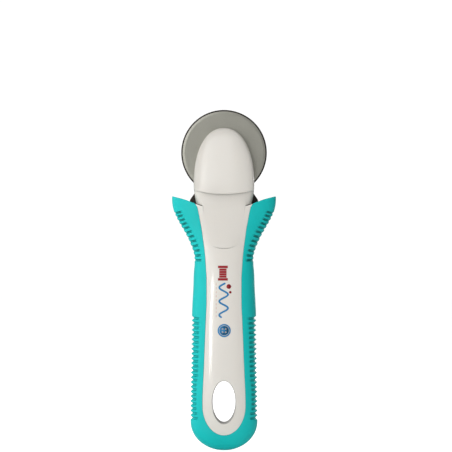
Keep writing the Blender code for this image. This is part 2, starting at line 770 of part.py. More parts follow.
# ---------------------------------------------------------------- blade guard
GUARD_R = BLADE_R + 0.8  # the guard stands outside the cutting edge
GUARD_Y0, GUARD_Y1 = 0.25, 1.85
SLOT_R = 4.15
DISC_END = (13.36, 142.6)  # x, z setting the angle at which the disc's arc starts
# Left half of the shoulders and tail: x, z
TAIL_LEFT = [
    (-16.0, 139.75), (-18.2, 136.6), (-18.6, 135.7), (-18.6, 133.4), (-18.0, 132.6),
    (-8.8, 128.3), (-8.8, 117.2), (-7.3, 115.7),
]
GUARD_RIM_PROFILE = [(21.7, 1.5), (23.25, 1.5), (23.1, 2.85), (21.9, 2.85)]  # radius, y


def build_guard():
    start = math.degrees(math.atan2(DISC_END[1] - BLADE_Z, DISC_END[0]))
    disc = arc(0.0, BLADE_Z, GUARD_R, start, 180 - 2 * start, 60)
    guard = plate("guard", disc + TAIL_LEFT + mirror(TAIL_LEFT), GUARD_Y0, GUARD_Y1)
    # A raised rim stiffens the back of the disc.
    rim = apply_transform(turned("rim", GUARD_RIM_PROFILE, 60))
    cut(rim, box("below_rim", (-30, -5, 100), (30, 10, BLADE_Z - 18.6)))
    add(guard, rim)
    slot = (arc(0.0, BLADE_Z + GUARD_TRAVEL, SLOT_R, 0, 180, 12)
            + arc(0.0, BLADE_Z, SLOT_R, 180, 180, 12))
    cut(guard, plate("slot", slot, -2, 5))
    for z in (DETENT_Z, DETENT_Z + GUARD_TRAVEL):
        cut(guard, rod("notch", 0, z, 1.7, -2, 5, 16))
    for x in (-PEG_X, PEG_X):
        cut(guard, rod("peg_hole", x, PEG_Z, 1.3, -2, 5, 14))
    finish(guard, "blade_guard", BLACK, on_axis=True)


# ---------------------------------------------------------------- thumb pad
PAD_X, PAD_LOW_Z, PAD_HIGH_Z = 5.0, 121.3, 129.2  # centres of the corner arcs
PAD_CORNER_R = 1.8


def build_pad():
    outline = []
    for x, z, start in (
        (PAD_X, PAD_HIGH_Z, 0), (-PAD_X, PAD_HIGH_Z, 90),
        (-PAD_X, PAD_LOW_Z, 180), (PAD_X, PAD_LOW_Z, 270),
    ):
        outline += arc(x, z, PAD_CORNER_R, start, 90, 4)
    pad = plate("pad", outline, 5.6, 9.6)
    add(pad, box("stem", (-5.9, 1.95, 121.0), (5.9, 6.0, 127.0)))
    for x in (-PEG_X, PEG_X):
        add(pad, rod("peg", x, PEG_Z, 1.2, 0.35, 2.5, 14))
    # Four grooves across the back of the pad.
    for k in range(4):
        groove = rod("groove", 0, 0, 0.75, -12, 12, 10)
        groove.data.transform(Matrix.Rotation(math.radians(90), 4, "Z"))
        groove.data.transform(Matrix.Translation((0, 9.85 * MM, (121.4 + 2.55 * k) * MM)))
        cut(pad, groove)
    finish(pad, "thumb_pad", TEAL_HARD, on_axis=True)


# ---------------------------------------------------------------- detent spring
SPRING_HALF_T = 0.12
SPRING_HALF_WIDTH, BUMP_HALF_WIDTH = 2.2, 0.95
# Middle line of the bent strip: z, y
SPRING_LINE = [
    (98.0, -0.85), (107.5, -0.85), (111.0, -0.72), (114.5, -0.45), (116.9, -0.12),
    (117.6, 0.25), (118.1, 0.55), (DETENT_Z, 0.62), (118.9, 0.55), (119.4, 0.25),
    (120.1, -0.12), (122.0, -0.35),
]


def build_detent_spring():
    """A bent strip, screwed to the arm's root, whose bump clicks into the guard's tail."""
    front, back = [], []
    for i, (z, y) in enumerate(SPRING_LINE):
        z0, y0 = SPRING_LINE[max(i - 1, 0)]
        z1, y1 = SPRING_LINE[min(i + 1, len(SPRING_LINE) - 1)]
        length = math.hypot(z1 - z0, y1 - y0)
        offset_z = -(y1 - y0) / length * SPRING_HALF_T
        offset_y = (z1 - z0) / length * SPRING_HALF_T
        front.append((z - offset_z, y - offset_y))
        back.append((z + offset_z, y + offset_y))

    def side_ring(side):
        ring = []
        for z, y in front + back[::-1]:
            width = BUMP_HALF_WIDTH if 116.6 < z < 120.3 else SPRING_HALF_WIDTH
            ring.append((side * width, y, z))
        return ring

    strip = loft("strip", [side_ring(-1), side_ring(1)])
    cut(strip, rod("bore", 0, DETENT_SCREW_Z, 1.15, -3, 2, 16))
    finish(strip, "detent_spring", ZINC)


# ---------------------------------------------------------------- screws
def build_detent_screw():
    slot_half = 0.25
    screw = rod("detent_screw", 0, DETENT_SCREW_Z, 1.9, -0.60, 0.02, 20)
    add(screw, rod("shank", 0, DETENT_SCREW_Z, 0.78, -3.7, -0.3, 14))
    cut(screw, box("slot", (-3, -0.2, DETENT_SCREW_Z - slot_half),
                   (3, 1, DETENT_SCREW_Z + slot_half)))
    finish(screw, "detent_screw", ZINC)


def build_handle_screw(name, x, z):
    cross_long, cross_short, cross_y = 1.6, 0.3, 8.4
    screw = rod(name, x, z, 2.65, 7.45, 9.3, 20, end_radius=2.3)
    add(screw, rod("shank", x, z, 1.38, -7.6, 8.0, 16))
    for half_x, half_z in ((cross_long, cross_short), (cross_short, cross_long)):
        cut(screw, box("cross", (x - half_x, cross_y, z - half_z),
                       (x + half_x, 12, z + half_z)))
    finish(screw, name, ZINC)


# ---------------------------------------------------------------- build
build_grips()
build_shells()
build_arm()
build_cover()
build_stud()
build_blade()
build_washers()
build_knob()
build_guard()
build_pad()
build_detent_spring()
build_detent_screw()
build_handle_screw("screw_upper_right", *UPPER_SCREWS[0])
build_handle_screw("screw_upper_left", *UPPER_SCREWS[1])
build_handle_screw("screw_lower", *LOWER_SCREW)
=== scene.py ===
"""Rotary cutter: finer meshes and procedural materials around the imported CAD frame.

The handle stands along +Z with its hanging hole at the bottom and its front towards -Y. The round
blade is at the top and turns about Y. The form is in millimetres; lights, camera and the distances
in the materials are in metres.
"""
import math
from bisect import bisect_right
import bmesh
import bpy
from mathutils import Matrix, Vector


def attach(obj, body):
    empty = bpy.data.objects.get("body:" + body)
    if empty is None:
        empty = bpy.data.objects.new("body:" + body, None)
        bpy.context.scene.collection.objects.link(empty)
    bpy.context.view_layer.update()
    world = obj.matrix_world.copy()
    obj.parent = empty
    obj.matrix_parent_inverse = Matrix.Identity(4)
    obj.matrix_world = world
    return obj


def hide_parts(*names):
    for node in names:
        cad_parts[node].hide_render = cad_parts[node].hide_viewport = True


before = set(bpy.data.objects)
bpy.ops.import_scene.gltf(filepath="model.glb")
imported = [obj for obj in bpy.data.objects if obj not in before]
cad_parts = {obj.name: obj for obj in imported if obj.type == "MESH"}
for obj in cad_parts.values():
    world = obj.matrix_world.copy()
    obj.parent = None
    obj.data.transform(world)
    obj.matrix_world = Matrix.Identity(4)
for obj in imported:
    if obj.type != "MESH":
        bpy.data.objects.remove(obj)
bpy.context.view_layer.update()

MM = 0.001
FRONT, BACK = -1, 1          # sign of Y on each half of the handle

BLADE_Z = 161.7              # height of the blade's axis
GUARD_TRAVEL = 9.0
DETENT_Z = 118.5
UPPER_SCREWS = ((5.6, 100.7), (-5.6, 100.7))    # x, z
LOWER_SCREW = (0.0, 50.0)
ALL_SCREWS = (*UPPER_SCREWS, LOWER_SCREW)
HOLE_Z, HOLE_RX, HOLE_RZ = 26.5, 6.6, 11.7      # oval hanging hole

SECTION_POWER = 3.0          # superellipse exponent of the handle's section
WIDTH_END_Z = 15.7           # below this the outline closes in an ellipse
DEPTH_END_Z = 14.0           # below this the front and back faces close in
LAND_Y, LAND_SOFT = 10.0, 0.35                  # flat resting land on the back, and its softness
PANEL_END_X, PANEL_END_Z, PANEL_END_DROP = 11.6, 24.7, 15.95    # lower end of the white panel
PANEL_GAP = 0.02             # the panel is held in from its outline by this
FOOT_X, FOOT_Z, FOOT_RISE = 7.25, 109.62, 2.1   # rounded lower end of the thumb rest
EGG_X, EGG_Z, EGG_HEIGHT, EGG_POWER = 16.45, 144.1, 30.9, 2.2   # outline of the head
PAST = 22                    # Y reach of cutters that run right through the handle

scene = bpy.context.scene
made = bpy.data.collections.new("visual")
scene.collection.children.link(made)
helpers = bpy.data.collections.new("helpers")
scene.collection.children.link(helpers)


# ------------------------------------------------------------------ curves
def clamp(t):
    return min(max(t, 0.0), 1.0)


def smoothstep(t):
    t = clamp(t)
    return t * t * (3 - 2 * t)


def bulge(t, power):
    """Height of a unit superellipse at t from its centre."""
    return (1 - min(t, 1.0) ** power) ** (1 / power)


def rollover(gap, radius):
    """How far a rounded edge falls away at a gap in from its rim."""
    if gap >= radius:
        return 0.0
    return radius - math.sqrt(max(radius**2 - (radius - gap) ** 2, 0.0))


def curve(rows):
    """A smooth function through (place, value) rows that doesn't overshoot between them."""
    xs = [x for x, _ in rows]
    values = [value for _, value in rows]
    last = len(rows) - 1
    slopes = [(values[i + 1] - values[i]) / (xs[i + 1] - xs[i]) for i in range(last)]
    tangents = [slopes[0]] + [0.0] * (last - 1) + [slopes[-1]]
    for i in range(1, last):
        if slopes[i - 1] * slopes[i] > 0:
            before, after = xs[i] - xs[i - 1], xs[i + 1] - xs[i]
            weight_a, weight_b = 2 * after + before, after + 2 * before
            tangents[i] = (weight_a + weight_b) / (weight_a / slopes[i - 1]
                                                   + weight_b / slopes[i])

    def value_at(x):
        if x <= xs[0]:
            return values[0]
        if x >= xs[-1]:
            return values[-1]
        i = bisect_right(xs, x) - 1
        span = xs[i + 1] - xs[i]
        t = (x - xs[i]) / span
        return ((2 * t**3 - 3 * t**2 + 1) * values[i]
                + (t**3 - 2 * t**2 + t) * span * tangents[i]
                + (-2 * t**3 + 3 * t**2) * values[i + 1]
                + (t**3 - t**2) * span * tangents[i + 1])

    return value_at


# ------------------------------------------------------------------ the handle's form
# Each row is z and the size there, unless noted.
half_width_curve = curve([
    (WIDTH_END_Z, 18.2), (27.5, 18.2), (38.3, 18.05), (49.2, 17.85), (60.0, 17.6),
    (70.9, 17.45), (75.2, 17.38), (78.5, 17.22), (81.7, 17.08), (85.0, 16.87),
    (88.2, 16.7), (91.5, 16.58), (94.7, 16.5), (98.0, 16.28), (101.0, 16.0),
    (103.4, 15.98), (106.1, 16.25), (108.8, 16.95), (111.5, 17.95),
    (114.3, 19.15), (117.0, 20.5), (119.7, 22.0), (122.4, 23.6), (125.1, 25.1),
    (127.8, 26.4), (130.5, 27.4), (133.2, 28.0), (136.0, 28.25), (142.0, 28.2),
])
depth_curve = {
    FRONT: curve([
        (DEPTH_END_Z, 9.15), (25.0, 9.7), (45.0, 9.95), (65.0, 10.0), (82.0, 10.0),
        (95.0, 9.7), (105.0, 9.15), (112.0, 8.55), (118.0, 7.95), (124.0, 7.4),
        (130.0, 7.0), (142.0, 6.8),
    ]),
    BACK: curve([
        (DEPTH_END_Z, 9.2), (25.0, 10.0), (45.0, 10.7), (65.0, 10.9), (85.0, 10.8),
        (100.0, 10.3), (110.0, 9.6), (120.0, 8.8), (130.0, 8.1), (142.0, 7.7),
    ]),
}
# Half width of the white panel between the grips.
panel_curve = curve([
    (PANEL_END_Z, 11.62), (30.0, 11.53), (38.3, 11.17), (49.2, 10.67), (60.0, 10.27),
    (70.9, 9.8), (81.7, 9.37), (92.6, 9.38), (98.0, 9.65), (103.4, 10.0),
    (108.8, 10.5), (114.3, 11.25), (119.7, 11.97), (125.1, 12.95), (130.5, 14.0),
    (131.7, 14.3), (132.8, 14.68), (133.4, 14.95), (133.8, 15.25), (134.1, 15.8),
    (134.35, 16.6), (134.5, 17.15), (142.0, 17.3),
])
# Upper edge of the shells: distance from the middle, z.
top_edge_curve = curve([
    (0.0, 131.7), (8.0, 132.05), (11.7, 132.65), (14.8, 133.6), (18.6, 135.45),
    (23.6, 137.0), (28.6, 138.1), (32.0, 138.6),
])
# Half width of the thumb rest.
rest_curve = curve([
    (109.6, 7.2), (111.9, 7.6), (113.5, 8.0), (118.0, 9.05), (125.0, 10.25),
    (133.2, 11.7), (142.0, 12.6),
])


def closing(z, height, inset, power):
    """Factor that rounds the lower end shut below that height."""
    return bulge(max(height - z, 0.0) / (height - inset), power)


def half_width(z, inset=0.0):
    return (half_width_curve(z) - inset) * closing(z, WIDTH_END_Z, inset, 2.0)


def depth(z, side, inset=0.0):
    return (depth_curve[side](z) - inset) * closing(z, DEPTH_END_Z, inset, 2.5)


def land(y):
    """Flattens the back softly at the resting land."""
    edge = LAND_Y - LAND_SOFT
    return y if y < edge else LAND_Y - LAND_SOFT * math.exp(-(y - edge) / LAND_SOFT)


def face_y(x, z, side):
    """Y of the handle's surface at x, z."""
    height = bulge(abs(x) / max(half_width(z), 1e-4), SECTION_POWER)
    if side == FRONT:
        return -depth(z, FRONT) * height
    return land(depth(z, BACK) * height)


def face_normal(x, z, side):
    """Outward unit normal of the handle's form at x, z."""
    step = 0.05
    z = max(z, 0.06)
    wide = max(half_width(z), 1e-3)
    deep = max(depth(z, side), 1e-3)
    wide_slope = (half_width(z + step) - half_width(z - step)) / (2 * step)
    deep_slope = (depth(z + step, side) - depth(z - step, side)) / (2 * step)
    across = min(abs(x) / wide, 1.0)
    out = bulge(across, SECTION_POWER)
    normal = Vector((
        math.copysign(across ** (SECTION_POWER - 1) / wide, x),
        side * out ** (SECTION_POWER - 1) / deep,
        -(across**SECTION_POWER) * wide_slope / wide - (out**SECTION_POWER) * deep_slope / deep))
    return normal.normalized()


# ------------------------------------------------------------------ mesh helpers
def to_object(bm, name="piece", recalc=True):
    """Turns a bmesh into an object among the helpers."""
    if recalc:
        bmesh.ops.recalc_face_normals(bm, faces=bm.faces)
        if bm.calc_volume(signed=True) < 0:
            bmesh.ops.reverse_faces(bm, faces=bm.faces)
    mesh = bpy.data.meshes.new(name)
    bm.to_mesh(mesh)
    bm.free()
    obj = bpy.data.objects.new(name, mesh)
    helpers.objects.link(obj)
    return obj


def lattice(bm, rings, close_rings=False, close_points=True):
    """Joins each ring of points in millimetres to the next, and returns the rings of vertices."""
    loops = [[bm.verts.new((x * MM, y * MM, z * MM)) for x, y, z in ring] for ring in rings]
    count = len(loops[0])
    following = loops[1:] + loops[:1] if close_rings else loops[1:]
    for here, there in zip(loops, following):
        for i in range(count if close_points else count - 1):
            j = (i + 1) % count
            bm.faces.new((here[i], here[j], there[j], there[i]))
    return loops


def rings_object(rings):
    """A solid through rings of points, capped at both ends."""
    bm = bmesh.new()
    loops = lattice(bm, rings)
    bm.faces.new(loops[0])
    bm.faces.new(list(reversed(loops[-1])))
    return to_object(bm)


def prism(outline, y0, y1):
    """A plate with that outline in X and Z, between y0 and y1."""
    return rings_object([[(x, y, z) for x, z in outline] for y in (y0, y1)])


def through(outline):
    return prism(outline, -PAST, PAST)


def block(low, high):
    (x0, y0, z0), (x1, y1, z1) = low, high
    return prism([(x0, z0), (x1, z0), (x1, z1), (x0, z1)], y0, y1)


def circle(x, z, radius, count, turn=0.0, radius_z=None):
    """Points of a circle, or of an ellipse where radius_z is given."""
    radius_z = radius if radius_z is None else radius_z
    return [(x + radius * math.cos(2 * math.pi * k / count + turn),
             z + radius_z * math.sin(2 * math.pi * k / count + turn)) for k in range(count)]


def arc(x, z, radius, start, sweep, steps):
    """Points of an arc; angles in degrees."""
    angles = [math.radians(start + sweep * k / steps) for k in range(steps + 1)]
    return [(x + radius * math.cos(angle), z + radius * math.sin(angle)) for angle in angles]


def mirrored(outline):
    """The same points at -x, in reverse order."""
    return [(-x, z) for x, z in reversed(outline)]


def rod(x, z, radius, y0, y1, segments=48, turn=0.0):
    return prism(circle(x, z, radius, segments, turn), y0, y1)


def spun(profile_at, steps):
    """Rings of points about the blade's axis, from the (radius, y) profile at each angle."""
    rings = []
    for k in range(steps):
        angle = 2 * math.pi * k / steps
        rings.append([(radius * math.cos(angle), y, BLADE_Z + radius * math.sin(angle))
                      for radius, y in profile_at(angle)])
    return rings


def turned(profile_at, steps):
    """A solid from a closed profile turned about the blade's axis."""
    bm = bmesh.new()
    lattice(bm, spun(profile_at, steps), close_rings=True)
    bmesh.ops.remove_doubles(bm, verts=bm.verts, dist=1e-7)
    bmesh.ops.dissolve_degenerate(bm, dist=1e-8, edges=bm.edges)
    return to_object(bm)


def apply_all(obj):
    """Applies every modifier."""
    bpy.context.view_layer.update()
    graph = bpy.context.evaluated_depsgraph_get()
    mesh = bpy.data.meshes.new_from_object(obj.evaluated_get(graph))
    obj.modifiers.clear()
    obj.data = mesh
    return obj


def boolean(obj, other, operation):
    """Applies the operation and uses up the other object."""
    mod = obj.modifiers.new(operation.lower(), "BOOLEAN")
    mod.operation = operation
    mod.solver = "EXACT"
    mod.object = other
    apply_all(obj)
    bpy.data.objects.remove(other, do_unlink=True)


def cut(obj, other):
    boolean(obj, other, "DIFFERENCE")


def fuse(obj, other):
    boolean(obj, other, "UNION")


def bevel(obj, width, segments=2, angle=30):
    mod = obj.modifiers.new("edges", "BEVEL")
    mod.width = width * MM
    mod.segments = segments
    mod.limit_method = "ANGLE"
    mod.angle_limit = math.radians(angle)
    mod.use_clamp_overlap = True
    return obj


def thicken(obj, thickness):
    """Gives an open skin a wall on its inner side."""
    mod = obj.modifiers.new("thickness", "SOLIDIFY")
    mod.thickness = thickness * MM
    mod.offset = -1.0
    mod.use_even_offset = False


def publish(obj, name, slot, node=None, body="handle", material=None, angle=35):
    """Names the piece, gives it the slot's material or another, and puts it on its body."""
    apply_all(obj)
    helpers.objects.unlink(obj)
    made.objects.link(obj)
    obj.name = name
    obj.data.name = name
    obj.data.materials.clear()
    obj.data.materials.append(MATERIALS[material or slot])
    obj.data.shade_smooth()
    obj.data.set_sharp_from_angle(angle=math.radians(angle))
    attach(obj, body)
    if node:
        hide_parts(node)


# ------------------------------------------------------------------ materials
MATERIALS = {}


def fill(tree, node, inputs):
    """Sets a node's inputs: a socket is linked, and anything else is a value."""
    for key, value in inputs.items():
        if isinstance(value, bpy.types.NodeSocket):
            tree.links.new(value, node.inputs[key])
        else:
            node.inputs[key].default_value = value


def add_node(tree, kind, inputs=None, **settings):
    node = tree.nodes.new(kind)
    for key, value in settings.items():
        setattr(node, key, value)
    fill(tree, node, inputs or {})
    return node


def shade(rgb, factor):
    return tuple(min(channel * factor, 1.0) for channel in rgb)


class Shader:
    """A Principled material; ranges are (low, high) pairs."""

    def __init__(self, name):
        material = bpy.data.materials.new(name)
        material.use_nodes = True
        MATERIALS[name] = material
        self.tree = material.node_tree
        self.coord = self.add("ShaderNodeTexCoord").outputs["Object"]

    def add(self, kind, inputs=None, **settings):
        return add_node(self.tree, kind, inputs, **settings)

    def surface(self, inputs):
        fill(self.tree, self.tree.nodes["Principled BSDF"], inputs)

    def noise(self, scale, detail, rough=0.5, stretch=None, source=None):
        node = self.add("ShaderNodeTexNoise",
                        {"Scale": scale, "Detail": detail, "Roughness": rough})
        source = source or self.coord
        if stretch:
            mapping = self.add("ShaderNodeMapping", {"Vector": source, "Scale": stretch})
            source = mapping.outputs["Vector"]
        fill(self.tree, node, {"Vector": source})
        return node.outputs["Fac"]

    def remap(self, source, to=(0.0, 1.0), span=(0.3, 0.7)):
        return self.add("ShaderNodeMapRange", {
            "From Min": span[0], "From Max": span[1], "To Min": to[0], "To Max": to[1],
            "Value": source}).outputs["Result"]

    def mix(self, factor, *colours):
        """Mixes from the first colour to the second."""
        first, second = ((*c, 1.0) if isinstance(c, tuple) else c for c in colours)
        node = self.add("ShaderNodeMix", {"Factor": factor, 6: first, 7: second},
                        data_type="RGBA")
        return node.outputs[2]

    def bump(self, height, strength, distance, normal=None):
        inputs = {"Strength": strength, "Distance": distance, "Height": height}
        if normal is not None:
            inputs["Normal"] = normal
        return self.add("ShaderNodeBump", inputs).outputs["Normal"]

    def calc(self, operation, *values):
        node = self.add("ShaderNodeMath", dict(enumerate(values)), operation=operation)
        return node.outputs[0]

    def edges(self, span):
        """1 on sharp convex edges, 0 elsewhere."""
        point = self.add("ShaderNodeNewGeometry").outputs["Pointiness"]
        return self.remap(point, span=span)

    def nearness(self, samples, distance, amount, span):
        """The amount where other surfaces lie within that distance, 0 in the open."""
        near = self.add("ShaderNodeAmbientOcclusion", {"Distance": distance}, samples=samples)
        return self.remap(near.outputs["AO"], to=(amount, 0.0), span=span)


def moulded(name, rgb, rough, spread, ripple, mottle, grain, grain_depth,
            coat=0.0, sss=0.0, wear=0.10, shadow=0.0, gloss=0.5, nook=0.0, hole_wall_shade=False):
    """Moulded plastic or rubber: faint flow mottling, a fine texture, polished edges.

    spread varies the roughness, ripple is the strength of the broad waves, mottle the change of
    colour, grain the fine texture's scale and grain_depth its height. wear brightens the edges.
    shadow is the amount of painted shade that darkens the colour in tight grooves, nook the reach
    of a softer painted shade in creases and under overhangs, and the last flag paints shade on
    the wall of the hanging hole.
    """
    g = Shader(name)
    flow = g.noise(scale=55.0, detail=4.0, rough=0.55)
    colour = g.mix(g.remap(flow), shade(rgb, 1 - mottle), shade(rgb, 1 + mottle))
    polish = g.remap(g.edges(span=(0.52, 0.6)), to=(0.0, wear), span=(0.0, 1.0))
    colour = g.mix(polish, colour, shade(rgb, 1.45))
    # Painted shade: the colour darkens where other surfaces lie close, in tight grooves such as
    # the grip's slots.
    if shadow:
        near = g.nearness(samples=8, distance=0.0014, amount=shadow, span=(0.35, 0.85))
        colour = g.mix(near, colour, tuple(c * c * 0.45 for c in rgb))
    # Painted shade, softer and wider: the colour darkens in creases and under overhangs, such as
    # below the cover's lower edge.
    if nook:
        near = g.nearness(samples=12, distance=nook, amount=0.46, span=(0.70, 0.985))
        colour = g.mix(near, colour, shade(rgb, 0.42))
    if hole_wall_shade:
        # Painted shade on the wall of the hanging hole: distance from the hole's axis, 1 at its
        # wall; object space is in metres.
        place = g.add("ShaderNodeMapping", {
            "Vector": g.coord, "Scale": (1000 / HOLE_RX, 0.0, 1000 / HOLE_RZ),
            "Location": (0.0, 0.0, -HOLE_Z / HOLE_RZ)})
        reach = g.add("ShaderNodeVectorMath", {0: place.outputs["Vector"]}, operation="LENGTH")
        inside = g.remap(reach.outputs["Value"], to=(1.0, 0.0), span=(1.0, 1.012))
        colour = g.mix(inside, colour, shade(rgb, 0.58))
    patches = g.noise(scale=140.0, detail=5.0, rough=0.6)
    fine = g.noise(scale=grain, detail=2.0, rough=0.6)
    wide = g.noise(scale=90.0, detail=2.0)
    waves = g.bump(wide, strength=ripple, distance=0.00006)
    g.surface({
        "Base Color": colour,
        "Roughness": g.remap(patches, to=(rough - spread, rough + spread)),
        "Normal": g.bump(fine, strength=0.5, distance=grain_depth, normal=waves),
        "Coat Weight": coat,
        "Coat Roughness": 0.11,
        "Specular IOR Level": gloss,
    })
    if sss:
        g.surface({"Subsurface Weight": sss, "Subsurface Radius": (1.0, 0.9, 0.8),
                   "Subsurface Scale": 0.0012})


def metal(name, rgb, rough, stretch):
    """Ground or plated metal: fine directional streaks and patches of duller finish."""
    g = Shader(name)
    patch = g.noise(scale=70.0, detail=5.0, rough=0.6)
    colour = g.mix(g.remap(patch), shade(rgb, 0.92), shade(rgb, 1.08))
    polish = g.remap(g.edges(span=(0.51, 0.58)), to=(0.0, 0.5), span=(0.0, 1.0))
    streaks = g.noise(scale=900.0, detail=3.0, rough=0.6, stretch=stretch)
    g.surface({
        "Base Color": g.mix(polish, colour, shade(rgb, 1.6)),
        "Roughness": g.remap(streaks, to=(rough - 0.06, rough + 0.08)),
        "Normal": g.bump(streaks, strength=0.35, distance=0.000004),
        "Metallic": 1.0,
    })


def blade_steel():
    """Ground steel: rings of grinding marks about the blade's axis, with a faint mottling."""
    base = (0.52, 0.515, 0.452)
    ring_scale = 9000.0      # marks along the radius, per metre
    turn_scale = 2.2         # slow change round the blade, per radian
    g = Shader("blade_steel")
    shift = g.add("ShaderNodeVectorMath", {0: g.coord, 1: (0.0, 0.0, BLADE_Z * MM)},
                  operation="SUBTRACT")
    parts = g.add("ShaderNodeSeparateXYZ", {0: shift.outputs["Vector"]})
    x, z = parts.outputs["X"], parts.outputs["Z"]
    squares = g.calc("ADD", g.calc("POWER", x, 2.0), g.calc("POWER", z, 2.0))
    radius = g.calc("SQRT", squares)
    angle = g.calc("ARCTAN2", z, x)
    polar = g.add("ShaderNodeCombineXYZ", {
        "X": g.calc("MULTIPLY", radius, ring_scale),
        "Y": g.calc("MULTIPLY", angle, turn_scale)})
    marks = g.noise(scale=1.0, detail=3.0, source=polar.outputs["Vector"])
    patch = g.noise(scale=60.0, detail=4.0, rough=0.6)
    colour = g.mix(g.remap(patch), shade(base, 0.95), shade(base, 1.06))
    g.surface({
        "Base Color": g.mix(g.remap(marks, to=(0.0, 0.5)), colour, shade(base, 0.86)),
        "Roughness": g.remap(marks, to=(0.34, 0.46)),
        "Normal": g.bump(marks, strength=0.25, distance=0.000004),
        "Metallic": 0.9,
    })


def make_materials():
    moulded("white_plastic", (0.86, 0.825, 0.765), rough=0.33, spread=0.03, ripple=0.012,
            mottle=0.006, grain=3200.0, grain_depth=0.000003, coat=0.5, sss=0.12, wear=0.03,
            nook=0.005, hole_wall_shade=True)
    moulded("teal_soft_grip", (0.001, 0.60, 0.585), rough=0.50, spread=0.06, ripple=0.06,
            mottle=0.035, grain=2400.0, grain_depth=0.000016, wear=0.06, shadow=0.9, gloss=0.30)
    moulded("teal_plastic", (0.012, 0.52, 0.51), rough=0.34, spread=0.05, ripple=0.08,
            mottle=0.03, grain=2600.0, grain_depth=0.000008, coat=0.1, wear=0.08)
    moulded("black_plastic", (0.022, 0.014, 0.009), rough=0.42, spread=0.07, ripple=0.12,
            mottle=0.2, grain=1900.0, grain_depth=0.000012, coat=0.1, wear=0.04, gloss=0.35)
    blade_steel()
    metal("zinc_steel", (0.56, 0.57, 0.58), rough=0.30, stretch=(1.0, 1.0, 6.0))
    metal("brass", (0.70, 0.48, 0.17), rough=0.26, stretch=(1.0, 8.0, 1.0))
    moulded("natural_pom", (0.78, 0.78, 0.74), rough=0.42, spread=0.05, ripple=0.1,
            mottle=0.02, grain=2400.0, grain_depth=0.000008, sss=0.2)
    for name, rgb, mottle in (("print_red", (0.40, 0.010, 0.018), 0.06),
                              ("print_blue", (0.020, 0.25, 0.56), 0.05),
                              ("print_pale", (0.78, 0.50, 0.42), 0.05)):
        moulded(name, rgb, rough=0.42, spread=0.04, ripple=0.02, mottle=mottle, grain=3000.0,
                grain_depth=0.000004)


# ------------------------------------------------------------------ soft grips
GRIP_TOP_Z = 138.0
GRIP_INSET = 4.9             # depth in from the outline of the grooved band
GRIP_EDGE = 0.22             # radius of the grip's edge at the panel
SEAM = 0.008                 # half gap between the front and rear grips


def outline_path():
    """The handle's right-hand outline, from the top tip to the middle of the lower end, with
    its running length."""
    points = []
    z = GRIP_TOP_Z
    while z > WIDTH_END_Z:
        points.append((half_width_curve(z), z))
        z -= 0.06
    end_x = half_width_curve(WIDTH_END_Z)
    for k in range(301):
        angle = math.radians(90 * k / 300)
        points.append((end_x * math.cos(angle), WIDTH_END_Z - WIDTH_END_Z * math.sin(angle)))
    run = [0.0]
    for (x0, z0), (x1, z1) in zip(points, points[1:]):
        run.append(run[-1] + math.hypot(x1 - x0, z1 - z0))
    return points, run


PATH, RUN = outline_path()
LENGTH = RUN[-1]


def path_at(run):
    """Point on the outline and its inward unit normal."""
    i = min(bisect_right(RUN, run) - 1, len(RUN) - 2)
    t = (run - RUN[i]) / (RUN[i + 1] - RUN[i])
    (x0, z0), (x1, z1) = PATH[i], PATH[i + 1]
    before, after = PATH[max(i - 3, 0)], PATH[min(i + 4, len(PATH) - 1)]
    dx, dz = after[0] - before[0], after[1] - before[1]
    length = math.hypot(dx, dz)
    # Going down the right side, inward is a quarter turn to the right of the way.
    return (x0 + (x1 - x0) * t, z0 + (z1 - z0) * t), (dz / length, -dx / length)


def run_of(z):
    """Running length at which the outline has come down to z."""
    for (x0, z0), (x1, z1), run in zip(PATH, PATH[1:], RUN):
        if z1 <= z:
            return run + (z0 - z) / max(z0 - z1, 1e-9) * math.hypot(x1 - x0, z1 - z0)
    return LENGTH


LOWER_GROOVES = [run_of(17.75 + 2.577 * i) for i in range(22)]
UPPER_GROOVES = [run_of(z) for z in (
    103.3, 105.65, 108.1, 110.6, 113.1, 115.55, 117.9, 120.2, 122.35, 124.5, 126.65, 128.7)]
# How far in from the outline each lower groove reaches: number from the lowest up, reach.
lower_reach = curve([(0, 4.0), (1, 3.6), (2, 3.3), (4, 3.12), (6, 3.2), (8, 3.5), (10, 3.85),
                     (14, 4.0), (22, 4.1)])
# Rows of mesh about each groove's middle, gathered at its walls.
LOWER_OFFSETS = (-1.285, -1.16, -0.99, -0.88, -0.70, -0.53, -0.36, -0.19, 0.0,
                 0.19, 0.36, 0.53, 0.70, 0.88, 0.99, 1.16)
UPPER_OFFSETS = (-1.05, -0.74, -0.66, -0.56, -0.46, 0.0, 0.46, 0.56, 0.66, 0.74)


def groove_depth(run, inset):
    """Depth of the grooves at a running length and a distance in from the outline."""
    deepest = 0.0
    for i, centre in enumerate(LOWER_GROOVES):
        off = abs(run - centre)
        if off < 1.2:
            # A notch with sloping sides at the outline becomes a flat-bottomed slot on the face.
            blend = min(inset / 1.3, 1.0)
            half = 1.16 - 0.28 * blend
            wall = 0.97 - 0.45 * blend
            full = 1.1 * clamp((lower_reach(i) - inset) / 0.4)
            deepest = max(deepest, clamp((half - off) / wall) * full)
    for centre in UPPER_GROOVES:
        off = abs(run - centre)
        if off < 1.2:
            full = min(0.34 + 1.0 * inset, 1.25) * clamp((3.45 - inset) / 0.35)
            deepest = max(deepest, clamp((0.66 - off) / 0.20) * full)
    return deepest


def panel_point(x, z):
    """The matching point on the white panel's outline."""
    if z >= PANEL_END_Z:
        # The stretch above split_z is squeezed to end at the panel's upper corner.
        split_z, corner_z = 118, 134.05
        if z >= split_z:
            z = split_z + (z - split_z) * (corner_z - split_z) / (GRIP_TOP_Z - split_z)
        return panel_curve(z), z
    dz = z - PANEL_END_Z
    scale = 1 / math.sqrt((x / PANEL_END_X) ** 2 + (dz / PANEL_END_DROP) ** 2)
    return x * scale, PANEL_END_Z + dz * scale


